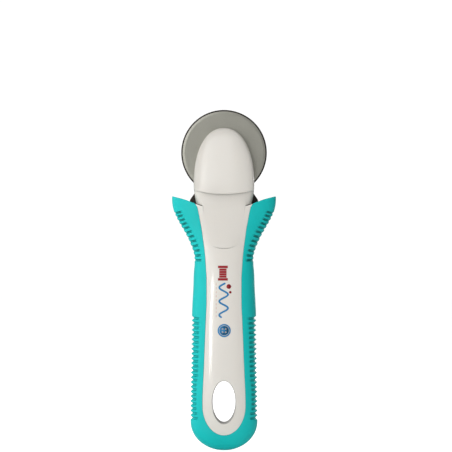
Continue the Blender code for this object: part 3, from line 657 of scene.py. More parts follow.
def grip_rows():
    """Running lengths of the rows of mesh."""
    marks = {0.0, LENGTH}
    for grooves, offsets in ((LOWER_GROOVES, LOWER_OFFSETS), (UPPER_GROOVES, UPPER_OFFSETS)):
        for centre in grooves:
            marks.update(centre + offset for offset in offsets)
    first, *others = sorted(mark for mark in marks if 0 <= mark <= LENGTH)
    rows = [first]
    for mark in others:
        gap = mark - rows[-1]
        if gap < 0.03 and mark < LENGTH:
            continue
        if gap > 1.5:
            steps = int(math.ceil(gap / 1.2))
            start = rows[-1]
            rows.extend(start + gap * k / steps for k in range(1, steps))
        rows.append(mark)
    return rows


def lean(direction, target, amount):
    """Turns a direction in X and Z part of the way to a target."""
    x, z = (a * (1 - amount) + b * amount for a, b in zip(direction, target))
    length = math.hypot(x, z)
    return x / length, z / length


def grip_plan(start, inward):
    """Points (x, z, inset) from the outline to the panel's edge, and the whole distance."""
    (x0, z0), (nx, nz) = start, inward
    insets = [GRIP_INSET * (k / 16) ** 3 for k in range(17)]
    plan = [(x0 + nx * inset, z0 + nz * inset, inset) for inset in insets]
    mid_x, mid_z, _ = plan[-1]
    # From the end of the grooves the row bends towards the panel's edge.
    end_x, end_z = panel_point(x0, z0)
    gap = math.hypot(end_x - mid_x, end_z - mid_z)
    ux, uz = (end_x - mid_x) / gap, (end_z - mid_z) / gap
    end_x, end_z = end_x - ux * 0.07, end_z - uz * 0.07
    control = ((mid_x, mid_z), (mid_x + nx * gap * 0.4, mid_z + nz * gap * 0.4),
               (end_x - ux * gap * 0.3, end_z - uz * gap * 0.3), (end_x, end_z))
    for t in (0.2, 0.4, 0.6, 0.8, 0.92, 0.965, 0.99, 1.0):
        rest = 1 - t
        x, z = (rest**3 * a + 3 * rest * rest * t * b + 3 * rest * t * t * c + t**3 * d
                for a, b, c, d in zip(*control))
        plan.append((x, z, GRIP_INSET + gap * t))
    return plan, GRIP_INSET + gap


def grip_ring(run, side, sign):
    """One closed cross-section of the grip; sign mirrors it in X."""
    (x0, z0), inward = path_at(run)
    # The slots on the flares lie flatter than the outline's normal, and the tip leans down.
    inward = lean(inward, (-1.0, 0.0), 0.36 * clamp((z0 - 101.0) / 8.0))
    inward = lean(inward, (-0.972, -0.235), smoothstep((z0 - 131.5) / 6.0))
    nx, nz = inward
    plan, total = grip_plan((x0, z0), inward)
    ring = []
    for x, z, inset in plan:
        point = Vector((x, face_y(x, z, side), z))
        normal = face_normal(x, z, side)
        if inset == 0.0:
            point.y = 0.0
            normal = Vector((-nx, 0.0, -nz))
        point -= normal * (groove_depth(run, inset) + rollover(total - inset, GRIP_EDGE))
        if point.y * side < SEAM:
            point.y = side * SEAM
        ring.append(point)
    # The inner side: down past the panel's edge, back under the face, down the inner wall.
    for (x, z, _), drop in ((plan[-1], 1.1), (plan[20], 1.15), (plan[16], 1.25)):
        ring.append(Vector((x, face_y(x, z, side) - side * drop, z)))
    for inset, drop in ((2.75, 1.7), (2.35, 2.8)):
        x, z = x0 + nx * inset, z0 + nz * inset
        y = face_y(x, z, side) - side * drop
        ring.append(Vector((x, y if y * side > 0.3 else side * 0.3, z)))
    ring.append(Vector((x0 + nx * 2.2, side * SEAM, z0 + nz * 2.2)))
    return [(sign * point.x, point.y, point.z) for point in ring]


def rounded_tip(ring, side):
    """Rings that round the grip's upper end over, from the full section up."""
    tip_height = 0.36
    face_points = 24         # the points on the face, short of the panel's edge
    rings = []
    for lift, inset in ((0.0, 0.0), (0.17, 0.04), (0.30, 0.14), (tip_height, 0.32)):
        moved = []
        for i, point in enumerate(ring):
            base = Vector(point) + Vector((0, 0, 1)) * (lift - tip_height)
            if i < face_points:
                normal = face_normal(abs(point[0]), point[2], side)
                if point[0] < 0:
                    normal.x = -normal.x
                base -= normal * inset
            moved.append(tuple(base))
        rings.append(moved)
    return rings


def build_grip(side, name, node):
    rows = grip_rows()
    right = [grip_ring(run, side, 1) for run in rows]
    left = [grip_ring(run, side, -1) for run in reversed(rows[:-1])]
    right[-1] = [(0.0, y, z) for _, y, z in right[-1]]
    start = list(reversed(rounded_tip(right[0], side)))
    rings = start + right[1:] + left[:-1] + rounded_tip(left[-1], side)
    publish(rings_object(rings), name, "teal_soft_grip", node, angle=50)


# ------------------------------------------------------------------ hard shells
FORM_LEVELS = [
    0.35, 0.9, 1.6, 2.6, 3.8, 5.2, 7.0, 9.0, 11.5, 14.0, 17.0, 20.0, 24.0, 28.0, 32.5, 37.0,
    42.0, 47.0, 52.0, 57.0, 62.0, 67.0, 72.0, 77.0, 82.0, 86.5, 91.0, 95.0, 98.5, 101.5, 104.0,
    106.5, 109.0, 111.5, 114.0, 116.5, 119.0, 121.5, 124.0, 126.5, 129.0, 131.5, 134.0, 137.0,
    141.0]
# Mouth of the hanging hole: distance from the middle, growth of the hole's radius.
HOLE_MOUTH = {
    FRONT: ((12.5, 2.6), (10.1, 0.42), (9.75, 0.12), (9.45, -0.02), (9.1, -0.10), (8.7, -0.14),
            (4.0, -0.33), (-2.0, -0.58)),
    BACK: ((12.5, 3.2), (10.1, 0.95), (9.75, 0.62), (9.45, 0.46), (9.1, 0.36), (8.7, 0.29),
           (4.0, -0.08), (-2.0, -0.58)),
}
# Counterbore of each screw in the rear shell: y, radius.
SCREW_SEAT = ((7.3, 2.95), (9.3, 2.95), (9.6, 3.05), (9.9, 3.3), (10.2, 3.8), (13.0, 4.5))


def section(z, side_inset, face_inset, count, flat):
    wide = max(half_width(z, side_inset), 1.2)
    front = max(depth(z, FRONT, face_inset), 0.7)
    back = max(depth(z, BACK, face_inset), 0.7)
    ring = []
    for i in range(count):
        angle = 2 * math.pi * (i + 0.5) / count
        cos, sin = math.cos(angle), math.sin(angle)
        x = wide * math.copysign(abs(cos) ** (2 / SECTION_POWER), cos)
        height = abs(sin) ** (2 / SECTION_POWER)
        if sin > 0:
            y = -front * height
        elif flat:
            y = land(back * height + face_inset) - face_inset
        else:
            y = back * height
        ring.append((x, y, z))
    return ring


def form(side_inset, face_inset, top=141.0, bottom=0.0, count=72, flat=True):
    """The handle's whole form, held in by the insets."""
    inner = [z for z in FORM_LEVELS if bottom + 0.2 < z < top - 0.2]
    return rings_object([section(z, side_inset, face_inset, count, flat)
                         for z in [bottom] + inner + [top]])


def panel_outline():
    right = [(panel_curve(z) - PANEL_GAP, z) for z in range(142, 24, -2)]
    for k in range(25):
        angle = math.radians(90 * k / 24)
        right.append(((PANEL_END_X - PANEL_GAP) * math.cos(angle),
                      PANEL_END_Z - (PANEL_END_DROP - PANEL_GAP) * math.sin(angle)))
    right[-1] = (0.0, right[-1][1])
    return right + mirrored(right[:-1])


def top_cutter(drop):
    """Everything above the shells' upper edge, lowered by drop."""
    half = [32, 30, 28, 26, 24, 22, 20, 18.6, 17, 15.5, 14.2, 13, 11.7, 10, 8, 6, 4, 2]
    xs = [-x for x in half] + [0.0] + half[::-1]
    edge = [(x, top_edge_curve(abs(x)) - drop) for x in xs]
    return through(edge + [(32, 152), (-32, 152)])


def foot_rise(x):
    """Rise of the thumb rest's rounded lower end away from the middle."""
    return FOOT_RISE * min(abs(x) / FOOT_X, 1.05) ** 2.2


def rest_outline(grow, top):
    """Outline of the thumb rest, from its rounded lower end up."""
    right = []
    for k in range(13):
        x = FOOT_X * k / 12
        sag = 0.09 * (1 - (x / FOOT_X) ** 2)
        right.append((x * (FOOT_X + grow) / FOOT_X, FOOT_Z + foot_rise(x) - sag))
    for z in (112.6, 113.6, 115, 117, 119, 121, 123, 125, 127, 129, 131, 133, top):
        right.append((rest_curve(z) + grow, z))
    return right + mirrored(right[1:])


def hole_cutter(side):
    """The hanging hole's cutter, flared at the mouth so that its lip is rounded."""
    return rings_object([
        [(x, side * out, z) for x, z in
         circle(0, HOLE_Z, HOLE_RX + flare, 72, 0.02, HOLE_RZ + 1.4 * flare)]
        for out, flare in HOLE_MOUTH[side]])


def make_shell(side):
    """One half of the white shell: panel, core under the grip, cavity, columns and cuts."""
    column_radius = 3.2
    shell = form(0.0, 0.0)
    boolean(shell, through(panel_outline()), "INTERSECT")
    cut(shell, top_cutter(0.0))
    core = form(2.6, 1.35, top=140.0, bottom=2.6, count=48)
    cut(core, top_cutter(1.6))
    fuse(shell, core)
    cavity = form(4.6, 3.0, top=139.0, bottom=4.6, count=40, flat=False)
    cut(cavity, top_cutter(3.6))
    cut(cavity, through(circle(0, HOLE_Z, HOLE_RX + 1.9, 48, 0.05, HOLE_RZ + 1.9)))
    cut(cavity, rod(*LOWER_SCREW, column_radius, -PAST, PAST, 32, 0.04))
    y0, y1 = (-PAST, -4.0) if side == FRONT else (-1.0, PAST)
    for x, z in UPPER_SCREWS:
        cut(cavity, rod(x, z, column_radius, y0, y1, 32, 0.04))
    cut(shell, cavity)
    # Keep this side of the parting plane only.
    y0, y1 = (-0.03, 30) if side == FRONT else (-30, 0.03)
    cut(shell, block((-40, y0, -10), (40, y1, 160)))
    cut(shell, hole_cutter(side))
    return shell


def build_front_shell():
    front = make_shell(FRONT)
    # Recess for the thumb rest, and the opening above it for the arm.
    recess = form(0.0, -4.0, top=138.5, bottom=104.0, count=72)
    cut(recess, form(1.0, 1.9, top=139.5, bottom=103.0, count=60))
    boolean(recess, prism(rest_outline(-0.03, 140.0), -PAST, 0), "INTERSECT")
    cut(front, recess)
    cut(front, block((-10.03, -4.32, 120), (10.03, 1, 150)))
    for x, z in ALL_SCREWS:
        cut(front, rod(x, z, 1.5, -8.2, 1, 32))
    publish(front, "front_shell_skin", "white_plastic", "front_shell")


def build_rear_shell():
    rear = make_shell(BACK)
    cut(rear, block((-19.3, -1, 124), (19.3, 3.1, 150)))
    # Window for the thumb pad, with rounded lower corners.
    half, corner, corner_z, top = 7.6, 3.0, 112.3, 150.0
    corner_x = 4.6
    window = ([(half, top)] + arc(corner_x, corner_z, corner, 270, 90, 8)[::-1]
              + arc(-corner_x, corner_z, corner, 180, 90, 8)[::-1] + [(-half, top)])
    cut(rear, prism(window, -1, PAST))
    for x, z in ALL_SCREWS:
        cut(rear, rod(x, z, 1.65, -3, 8.0, 32))
        cut(rear, rings_object([
            [(px, y, pz) for px, pz in circle(x, z, radius, 40, 0.03)]
            for y, radius in SCREW_SEAT]))
    publish(rear, "rear_shell_skin", "white_plastic", "rear_shell")


# ------------------------------------------------------------------ blade arm
arm_depth = curve([
    (121.0, 7.66), (124.0, 7.40), (127.0, 7.15), (129.5, 6.93), (131.5, 6.80), (133.0, 6.75),
    (134.4, 6.79), (135.8, 6.94), (137.0, 7.17), (138.1, 7.48), (139.0, 7.80), (139.6, 8.00),
    (141.0, 8.10), (144.0, 8.10),
])
neck_width = curve([(133.3, 15.1), (136.0, 15.5), (139.5, 16.05), (141.2, 16.25),
                    (141.5, 15.1), (144.0, 14.9)])
NECK_X = 11.7                # half width of the neck's middle, inside its wings
NECK_POWER = 4
REST_LEVELS = [FOOT_Z, 109.75, 110.0, 110.4, 111.0, 112.0, 113.5, 115.5, 118.0, 120.5, 123.0,
               125.5, 128.0, 130.0, 131.7]
NECK_LEVELS = [133.0, 133.9, 134.7, 135.7, 136.8, 138.0, 139.2, 140.2, 140.9, 141.2, 141.5,
               142.4, 143.4]
MIDDLE_COLUMNS, WING_COLUMNS = 22, 14           # on each side


def arm_front(x, z, edge):
    """Front of the thumb rest and neck; the rest swells a little towards its lower end."""
    merge = clamp((z - 126.0) / 6.0)
    deep = depth(z, FRONT) * (1 - merge) + arm_depth(z) * merge
    swell = 0.16 * max(0.0, 1 - (z - 109.6) / 9.0) * max(1 - (abs(x) / edge) ** 3, 0.0) + 0.004
    rest = deep * bulge(abs(x) / half_width(z), SECTION_POWER) + swell
    neck = arm_depth(z) * bulge(abs(x) / neck_width(z), NECK_POWER)
    blend = smoothstep((z - 130.0) / 7.0)
    return -((1 - blend) * rest + blend * neck)


def rest_point(level, t):
    """Point of the thumb rest at t from -1 to 1 across; its rows follow the rounded foot."""
    fade = max(0.0, 1 - (level - FOOT_Z) / 9.0)
    half = rest_curve(level)
    for _ in range(6):
        z = level + foot_rise(half * t) * fade
        half = rest_curve(z)
    x = half * t
    foot_radius = 0.02 + 0.22 * max(0.0, 1 - (x / 6.4) ** 2)
    y = arm_front(x, z, max(half, 7.3))
    y += rollover(half - abs(x), 0.02) + rollover(level - FOOT_Z, foot_radius)
    return x, y, z


def wing_point(level, k):
    """Right-hand point k of the neck's wing, which runs round to the side."""
    wide, deep, side_y = neck_width(level), arm_depth(level), 0.9
    start = math.acos(min((NECK_X / wide) ** 2, 1.0))
    x = wide * math.cos(start * (1 - k / WING_COLUMNS)) ** 0.5
    height = bulge(x / wide, NECK_POWER)
    ease = min(k / 4.0, 1.0)
    y = -deep * height * (1 - ease) + (-side_y - (deep - side_y) * height) * ease
    # The lowest rows follow the shells' upper edge.
    follow = max(0.0, 1 - (level - 133.0) / 2.6)
    z = level + follow * (max(top_edge_curve(x) + 0.42, 133.05) - 133.0)
    return x, y, z


def build_rest():
    bm = bmesh.new()
    grid = {}

    def place(row, column, x, y, z):
        grid[row, column] = bm.verts.new((x * MM, y * MM, z * MM))

    levels = REST_LEVELS + NECK_LEVELS
    neck_row = len(REST_LEVELS)
    for row, level in enumerate(levels):
        for column in range(-MIDDLE_COLUMNS, MIDDLE_COLUMNS + 1):
            t = column / MIDDLE_COLUMNS
            # Columns gather towards the edges, where the surface rolls over.
            t = math.copysign(1 - (1 - abs(t)) ** 1.6, t)
            if row < neck_row:
                place(row, column, *rest_point(level, t))
            else:
                place(row, column, NECK_X * t, arm_front(NECK_X * t, level, NECK_X), level)
    for row, level in enumerate(NECK_LEVELS, neck_row):
        for sign in (1, -1):
            for k in range(1, WING_COLUMNS + 1):
                x, y, z = wing_point(level, k)
                place(row, sign * (MIDDLE_COLUMNS + k), sign * x, y, z)
    for row in range(len(levels) - 1):
        reach = MIDDLE_COLUMNS + (WING_COLUMNS if row >= neck_row else 0)
        for c in range(-reach, reach):
            bm.faces.new((grid[row, c], grid[row, c + 1], grid[row + 1, c + 1],
                          grid[row + 1, c]))
    arm = to_object(bm, recalc=False)
    thicken(arm, 1.35)
    publish(arm, "thumb_rest_skin", "white_plastic", "blade_arm", angle=40)


def egg(grow, steps):
    """Upper part of the head's outline, from the right side over the tip to the left."""
    points = []
    for k in range(steps + 1):
        angle = math.pi * k / steps
        cos, sin = math.cos(angle), math.sin(angle)
        x = 0.0
        if abs(cos) > 1e-9:
            x = (EGG_X + grow) * math.copysign(abs(cos) ** (2 / EGG_POWER), cos)
        points.append((x, EGG_Z + (EGG_HEIGHT + grow) * max(sin, 0.0) ** (2 / EGG_POWER)))
    return points


def build_arm_plate():
    """The flat plate behind the cover, its root in the handle and the boss for the pivot."""
    plate = prism([(16.15, 139.2)] + egg(-0.15, 72) + [(-16.15, 139.2)], -3.9, -0.9)
    root = [(9.6, 139.0), (9.6, 99.0), (8.2, 96.6), (-8.2, 96.6), (-9.6, 99.0), (-9.6, 139.0),
            (-9.6, 141.0), (9.6, 141.0)]
    fuse(plate, prism(root, -3.85, -1.1))
    fuse(plate, rod(0, BLADE_Z, 8.8, -5.3, -3.0, 64, 0.02))
    cut(plate, rod(0, BLADE_Z, 7.2, -10, -3.9, 6))
    cut(plate, rod(0, BLADE_Z, 4.02, -10, 1, 64, 0.03))
    for x, z in UPPER_SCREWS:
        cut(plate, rod(x, z, 1.65, -6, 1, 32))
    bevel(plate, 0.22, 3)
    publish(plate, "arm_plate_skin", "white_plastic", "blade_arm")


# ------------------------------------------------------------------ head cover
COVER_BASE = 3.95            # depth of the cover's rim in front of the blade's plane
LIP_X = 16.34                # half width of the cover's curved lower edge
COVER_CENTRE_Z = 152.0
# Scales of the rings towards the centre, close together at the rim.
COVER_SCALES = (
    1.0, 0.9992, 0.9975, 0.995, 0.991, 0.986, 0.979, 0.970, 0.958, 0.943, 0.925, 0.90, 0.87,
    0.83, 0.78, 0.72, 0.65, 0.57, 0.48, 0.38, 0.27, 0.15, 0.05)
crown_rise = curve([(138.0, 5.25), (141.0, 5.58), (145.0, 5.85), (149.0, 5.96), (150.0, 5.97)])


def egg_width(z):
    if z <= EGG_Z:
        return EGG_X - (EGG_Z - z) * 0.04
    return EGG_X * bulge((z - EGG_Z) / EGG_HEIGHT, EGG_POWER)


def lip_z(x):
    """Height of the cover's lower edge."""
    return 138.98 + 2.10 * abs(x / LIP_X) ** 2.0


def cover_depth(x, z):
    wide = egg_width(z)
    across = min(abs(x) / wide, 1.0) if wide > 1e-6 else 1.0
    rise = crown_rise(z) * bulge(max(z - 149.0, 0.0) / 26.0, 2.5)
    deep = COVER_BASE + rise * (1 - across**3.0) ** (1 / 2.8)
    lip = rollover(max(z - lip_z(x), 0.0), 0.85)
    return deep - lip * min((deep - COVER_BASE) / 2.0, 1.0)


def lip_depth(x, z):
    """Depth of the free edge along the lip, turned in to meet the neck."""
    full = cover_depth(x, z)
    under = 7.62 * bulge(abs(x) / 16.5, NECK_POWER) + 0.05
    deep = max(min(full, under + 0.25), COVER_BASE)
    return min(deep, full - 0.02) if deep > 3.97 else deep


def build_cover():
    side_zs = (143.4, 142.7, 142.0)
    upper = egg(0.0, 110) + [(-egg_width(z), z) for z in side_zs]
    lip_xs = [LIP_X * math.sin(math.pi * (k / 60 - 0.5)) for k in range(61)]
    lip = [(x, lip_z(x)) for x in lip_xs]
    lower = [(egg_width(z), z) for z in reversed(side_zs)]
    outline = upper + lip + lower

    rim = [(x, -cover_depth(x, z), z) for x, z in upper]
    rim += [(x, -lip_depth(x, z), z) for x, z in lip]
    rim += [(x, -cover_depth(x, z), z) for x, z in lower]
    rings = [rim]
    for scale in COVER_SCALES:
        ring = [(x * scale, COVER_CENTRE_Z + (z - COVER_CENTRE_Z) * scale) for x, z in outline]
        rings.append([(x, -cover_depth(x, z), z) for x, z in ring])
    bm = bmesh.new()
    inner = lattice(bm, rings)[-1]
    middle = bm.verts.new((0.0, -cover_depth(0.0, COVER_CENTRE_Z) * MM, COVER_CENTRE_Z * MM))
    for vert, following in zip(inner, inner[1:] + inner[:1]):
        bm.faces.new((vert, following, middle))
    bmesh.ops.remove_doubles(bm, verts=bm.verts, dist=2e-6)
    cover = to_object(bm, recalc=False)
    # The wall is grown behind the skin, so turn the skin if its last face looks back.
    if cover.data.polygons[-1].normal.y > 0:
        cover.data.flip_normals()
    thicken(cover, 1.2)
    publish(cover, "head_cover_skin", "white_plastic", "head_cover", angle=60)


# ------------------------------------------------------------------ blade
# Closed profile of the disc, ground to an edge: radius, y.
BLADE_PROFILE = [
    (4.0, -0.13), (4.04, -0.15), (21.3, -0.15), (21.4, -0.145), (22.42, -0.016), (22.5, 0.0),
    (22.42, 0.016), (21.4, 0.145), (21.3, 0.15), (4.04, 0.15), (4.0, 0.13)]


def build_blade():
    blade = turned(lambda angle: BLADE_PROFILE, 256)
    publish(blade, "blade_skin", "blade_steel", "blade", body="blade_disc", angle=2.5)


# ------------------------------------------------------------------ guard
# Left side of the guard's tail, from the disc down: x, z.
GUARD_TAIL = [
    (-16.0, 139.75), (-18.2, 136.6), (-18.5, 136.0), (-18.6, 135.4), (-18.6, 133.6),
    (-18.4, 132.95), (-18.0, 132.6), (-9.3, 128.6), (-8.9, 128.2), (-8.8, 127.6),
    (-8.8, 117.2), (-8.55, 116.3), (-7.9, 115.8), (-7.3, 115.7)]
# Closed profile of the raised rim: radius, y.
GUARD_RIM = [
    (21.7, 1.3), (22.85, 1.3), (23.12, 1.45), (23.18, 1.7), (23.18, 2.55), (23.05, 2.78),
    (22.8, 2.85), (22.2, 2.85), (21.95, 2.75), (21.8, 2.5)]
RIB_ANGLES = (35, 72, 108, 145, 200, 340)       # degrees


def stadium(radius, steps):
    """Outline of the slot that lets the guard travel."""
    return (arc(0, BLADE_Z + GUARD_TRAVEL, radius, 0, 180, steps)
            + arc(0, BLADE_Z, radius, 180, 180, steps))


def guard_rib(angle):
    """A shallow radial rib on the back of the disc; the two upper ones clear the slot."""
    cos, sin = math.cos(math.radians(angle)), math.sin(math.radians(angle))
    inner = 16.2 if 60 < angle < 120 else 10.5
    outer, half = 22.2, 0.55
    corners = ((inner, -half), (outer, -half), (outer, half), (inner, half))
    outline = [(cos * along - sin * across, BLADE_Z + sin * along + cos * across)
               for along, across in corners]
    return apply_all(bevel(prism(outline, 1.6, 2.3), 0.12, 2))


def build_guard():
    start = math.degrees(math.atan2(142.6 - BLADE_Z, 13.36))
    disc = arc(0, BLADE_Z, 23.3, start, 180 - 2 * start, 180)
    guard = prism(disc + GUARD_TAIL + mirrored(GUARD_TAIL), 0.25, 1.85)
    apply_all(bevel(guard, 0.38, 4, 50))
    rim = turned(lambda angle: GUARD_RIM, 180)
    cut(rim, block((-30, -5, 100), (30, 10, BLADE_Z - 18.6)))
    fuse(guard, rim)
    # A raised track round the slot, where the washer bears.
    fuse(guard, apply_all(bevel(prism(stadium(6.2, 24), 1.5, 1.98), 0.1, 2)))
    cut(guard, prism(stadium(4.15, 20), -2, 5))
    for z in (DETENT_Z, DETENT_Z + GUARD_TRAVEL):
        cut(guard, rod(0, z, 1.7, -2, 5, 32))
    for x in (-4.6, 4.6):
        cut(guard, rod(x, 124.0, 1.3, -2, 5, 28))
    for angle in RIB_ANGLES:
        fuse(guard, guard_rib(angle))
    publish(guard, "blade_guard_skin", "black_plastic", "blade_guard", body="guard")


# ------------------------------------------------------------------ thumb pad
def build_pad():
    corners = ((5.0, 129.2, 0), (-5.0, 129.2, 90), (-5.0, 121.3, 180), (5.0, 121.3, 270))
    outline = [point for x, z, start in corners for point in arc(x, z, 1.8, start, 90, 8)]
    pad = prism(outline, 5.6, 9.6)
    apply_all(bevel(pad, 0.6, 5))
    # Four round-bottomed grooves across the back face.
    for k in range(4):
        ring = circle(9.85, 121.4 + 2.55 * k, 0.78, 24)
        cut(pad, rings_object([[(x, y, z) for y, z in ring] for x in (-12, 12)]))
    fuse(pad, block((-5.9, 1.95, 121.0), (5.9, 6.0, 127.0)))
    publish(pad, "thumb_pad_skin", "teal_plastic", "thumb_pad", body="guard")


# ------------------------------------------------------------------ knob
KNOB_RADIUS = 9.4
KNOB_SCALLOPS = 8
SCALLOP_CENTRE, SCALLOP_RADIUS = 10.9, 2.5      # each scallop is a circle outside the knob
SCALLOP_INNER = 6.7                             # the scallops fade out by this radius
# radius, y
KNOB_PROFILE = [
    (0.0, 8.75), (3.55, 8.75), (3.62, 8.6), (3.62, 4.0), (3.7, 3.85), (8.3, 3.85), (8.75, 3.95),
    (9.1, 4.2), (9.28, 4.5), (9.38, 5.0), (9.4, 5.6), (9.4, 7.9), (9.36, 8.35), (9.22, 8.75),
    (8.95, 9.1), (8.5, 9.38), (7.9, 9.5), (7.3, 9.5), (6.9, 9.42), (6.6, 9.3), (6.3, 9.3),
    (6.0, 9.42), (5.6, 9.52), (4.0, 9.6), (2.0, 9.66), (0.0, 9.68)]


def scalloped(radius, y, angle):
    """The profile's radius after the finger scallops round the rim."""
    if radius < SCALLOP_INNER or y > 9.45 and radius < 7.6:
        return radius
    pitch = 2 * math.pi / KNOB_SCALLOPS
    off = (angle - pitch / 2) % pitch
    off = min(off, pitch - off)
    root = SCALLOP_RADIUS**2 - (SCALLOP_CENTRE * math.sin(off)) ** 2
    if root <= 0:
        return radius
    edge = SCALLOP_CENTRE * math.cos(off) - math.sqrt(root)
    # A soft minimum of the rim and the scallop rounds the ridge between them.
    soft = 6
    limit = -math.log(math.exp(-soft * KNOB_RADIUS) + math.exp(-soft * edge)) / soft
    fade = 1.0 if radius > 8.0 else (radius - SCALLOP_INNER) / 1.3
    return radius * min(limit / KNOB_RADIUS, 1.0) ** fade


def build_knob():
    knob = turned(
        lambda angle: [(scalloped(radius, y, angle), y) for radius, y in KNOB_PROFILE], 240)
    publish(knob, "knob_skin", "teal_plastic", "knob", body="clamp_knob", angle=50)


# ------------------------------------------------------------------ pivot stud
THREAD_RADIUS, THREAD_DEPTH, THREAD_PITCH = 2.45, 0.42, 0.8


def shank_profile(angle):
    """Smooth journal and helical thread at that angle: radius, y."""
    profile = [(3.92, -4.5), (3.92, 1.6), (3.80, 1.72), (THREAD_RADIUS, 1.72), (2.2, 1.95)]
    y = 2.05
    while y < 8.0:
        phase = (y / THREAD_PITCH - angle / (2 * math.pi)) % 1.0
        profile.append((THREAD_RADIUS - THREAD_DEPTH * abs(2 * phase - 1), y))
        y += 0.1
    return profile + [(2.2, 8.1), (1.9, 8.3)]


def build_stud():
    stud = apply_all(bevel(rod(0, BLADE_Z, 6.95, -5.75, -4.0, 6), 0.25, 2))
    bm = bmesh.new()
    loops = lattice(bm, spun(shank_profile, 48), close_rings=True, close_points=False)
    bm.faces.new([loop[0] for loop in loops])
    bm.faces.new([loop[-1] for loop in reversed(loops)])
    fuse(stud, to_object(bm))
    publish(stud, "pivot_stud_skin", "zinc_steel", "pivot_stud")


# ------------------------------------------------------------------ CAD nodes kept as they are
KEPT_NODES = (
    ("blade_washer", "natural_pom"), ("flat_washer", "zinc_steel"),
    ("wave_washer", "zinc_steel"), ("knob_insert", "brass"), ("detent_spring", "zinc_steel"),
    ("detent_screw", "zinc_steel"), ("screw_upper_right", "zinc_steel"),
    ("screw_upper_left", "zinc_steel"), ("screw_lower", "zinc_steel"))


def dress_kept_nodes():
    for node, material in KEPT_NODES:
        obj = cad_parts[node]
        obj.data.materials.clear()
        obj.data.materials.append(MATERIALS[material])
        if node not in ("wave_washer", "detent_spring"):
            bevel(obj, 0.07, 2, 40)


# ------------------------------------------------------------------ print on the handle
PRINT_LIFT, PRINT_THICKNESS = 0.03, 0.05
THREAD_TOP_Z, THREAD_DROP = 91.0, 18.6
BUTTON_X, BUTTON_Z = 0.1, 65.4
# Reel of thread: z of each bar, width, height.
REEL_X = -0.6
REEL_BARS = ((99.75, 5.3, 1.3), (93.05, 5.3, 1.3), (98.28, 3.9, 1.12), (97.02, 3.9, 1.12),
             (95.76, 3.9, 1.12), (94.5, 3.9, 1.12))


def print_patch(name, points, faces, material, lift=PRINT_LIFT):
    """A thin printed shape: flat points in X and Z laid on the handle's front."""
    bm = bmesh.new()
    top, low = ([bm.verts.new((x * MM, (face_y(x, z, FRONT) - lift + drop) * MM, z * MM))
                 for x, z in points] for drop in (0.0, PRINT_THICKNESS))
    edges = {}
    for face in faces:
        bm.faces.new([top[i] for i in face])
        bm.faces.new([low[i] for i in reversed(face)])
        edges.update(dict.fromkeys(zip(face, face[1:] + face[:1])))
    for i, j in edges:
        if (j, i) not in edges:
            bm.faces.new((top[j], top[i], low[i], low[j]))
    publish(to_object(bm, name), name, "white_plastic", material=material)


def print_bar(name, centre_x, centre_z, width, height, material):
    columns, rows = 6, 3
    points = [(centre_x - width / 2 + width * i / columns,
               centre_z - height / 2 + height * j / rows)
              for j in range(rows + 1) for i in range(columns + 1)]
    stride = columns + 1
    corners = [j * stride + i for j in range(rows) for i in range(columns)]
    print_patch(name, points, [[k, k + 1, k + stride + 1, k + stride] for k in corners],
                material)


def print_line(name, path, width, material):
    """A printed line of even width along a path, narrowed at its ends."""
    points = []
    last = len(path) - 1
    for i, (x, z) in enumerate(path):
        before, after = path[max(i - 1, 0)], path[min(i + 1, last)]
        dx, dz = after[0] - before[0], after[1] - before[1]
        length = math.hypot(dx, dz)
        nx, nz = -dz / length * width / 2, dx / length * width / 2
        taper = 0.55 if i in (0, last) else 1.0
        points += [(x + nx * taper, z + nz * taper), (x - nx * taper, z - nz * taper)]
    faces = [[2 * i, 2 * i + 1, 2 * i + 3, 2 * i + 2] for i in range(last)]
    print_patch(name, points, faces, material)


def print_disc(name, x, z, radius, material, inner=0.0, lift=PRINT_LIFT, steps=40):
    """A printed disc, or a ring where inner is given."""
    radii = [inner, (inner + radius) / 2, radius] if inner > 0 else [0.5 * radius, radius]
    points = [point for size in radii for point in circle(x, z, size, steps)]
    faces = []
    for k in range(len(radii) - 1):
        for i in range(steps):
            j = (i + 1) % steps
            faces.append([k * steps + i, k * steps + j, (k + 1) * steps + j,
                          (k + 1) * steps + i])
    if inner <= 0:
        points.append((x, z))
        faces += [[i, (i + 1) % steps, len(points) - 1] for i in range(steps)]
    print_patch(name, points, faces, material, lift)


def build_print():
    """A sewing motif: a red reel, a wavy blue thread, stitches and a four-hole button."""
    for i, (z, width, height) in enumerate(REEL_BARS):
        print_bar(f"print_reel_{i}", REEL_X, z, width, height, "print_red")
    wave = []
    for k in range(121):
        t = k / 120
        wave.append((-0.2 + 2.35 * math.sin(t * 2 * math.pi * 2.5 + 2.71),
                     THREAD_TOP_Z - THREAD_DROP * t))
    print_line("print_thread", wave, 0.95, "print_blue")
    for i, (x, z, radius) in enumerate(((2.6, 89.2, 1.25), (3.4, 86.1, 0.68))):
        print_disc(f"print_dot_{i}", x, z, radius, "print_red", lift=0.035)
    for i in range(9):
        z = THREAD_TOP_Z - 2.15 * i
        print_line(f"print_stitch_{i}", [(-4.2, z), (-4.23, z - 0.6), (-4.2, z - 1.2)], 0.3,
                   "print_pale")
    print_disc("print_button", BUTTON_X, BUTTON_Z, 3.55, "print_blue", steps=56)
    raised = 0.045
    print_disc("print_button_ring", BUTTON_X, BUTTON_Z, 2.8, "white_plastic", inner=2.62,
               lift=raised, steps=56)
    for i, (x, z) in enumerate(((0.85, 0.85), (-0.85, 0.85), (-0.85, -0.85), (0.85, -0.85))):
        print_disc(f"print_button_hole_{i}", BUTTON_X + x, BUTTON_Z + z, 0.48, "white_plastic",
                   lift=raised, steps=20)


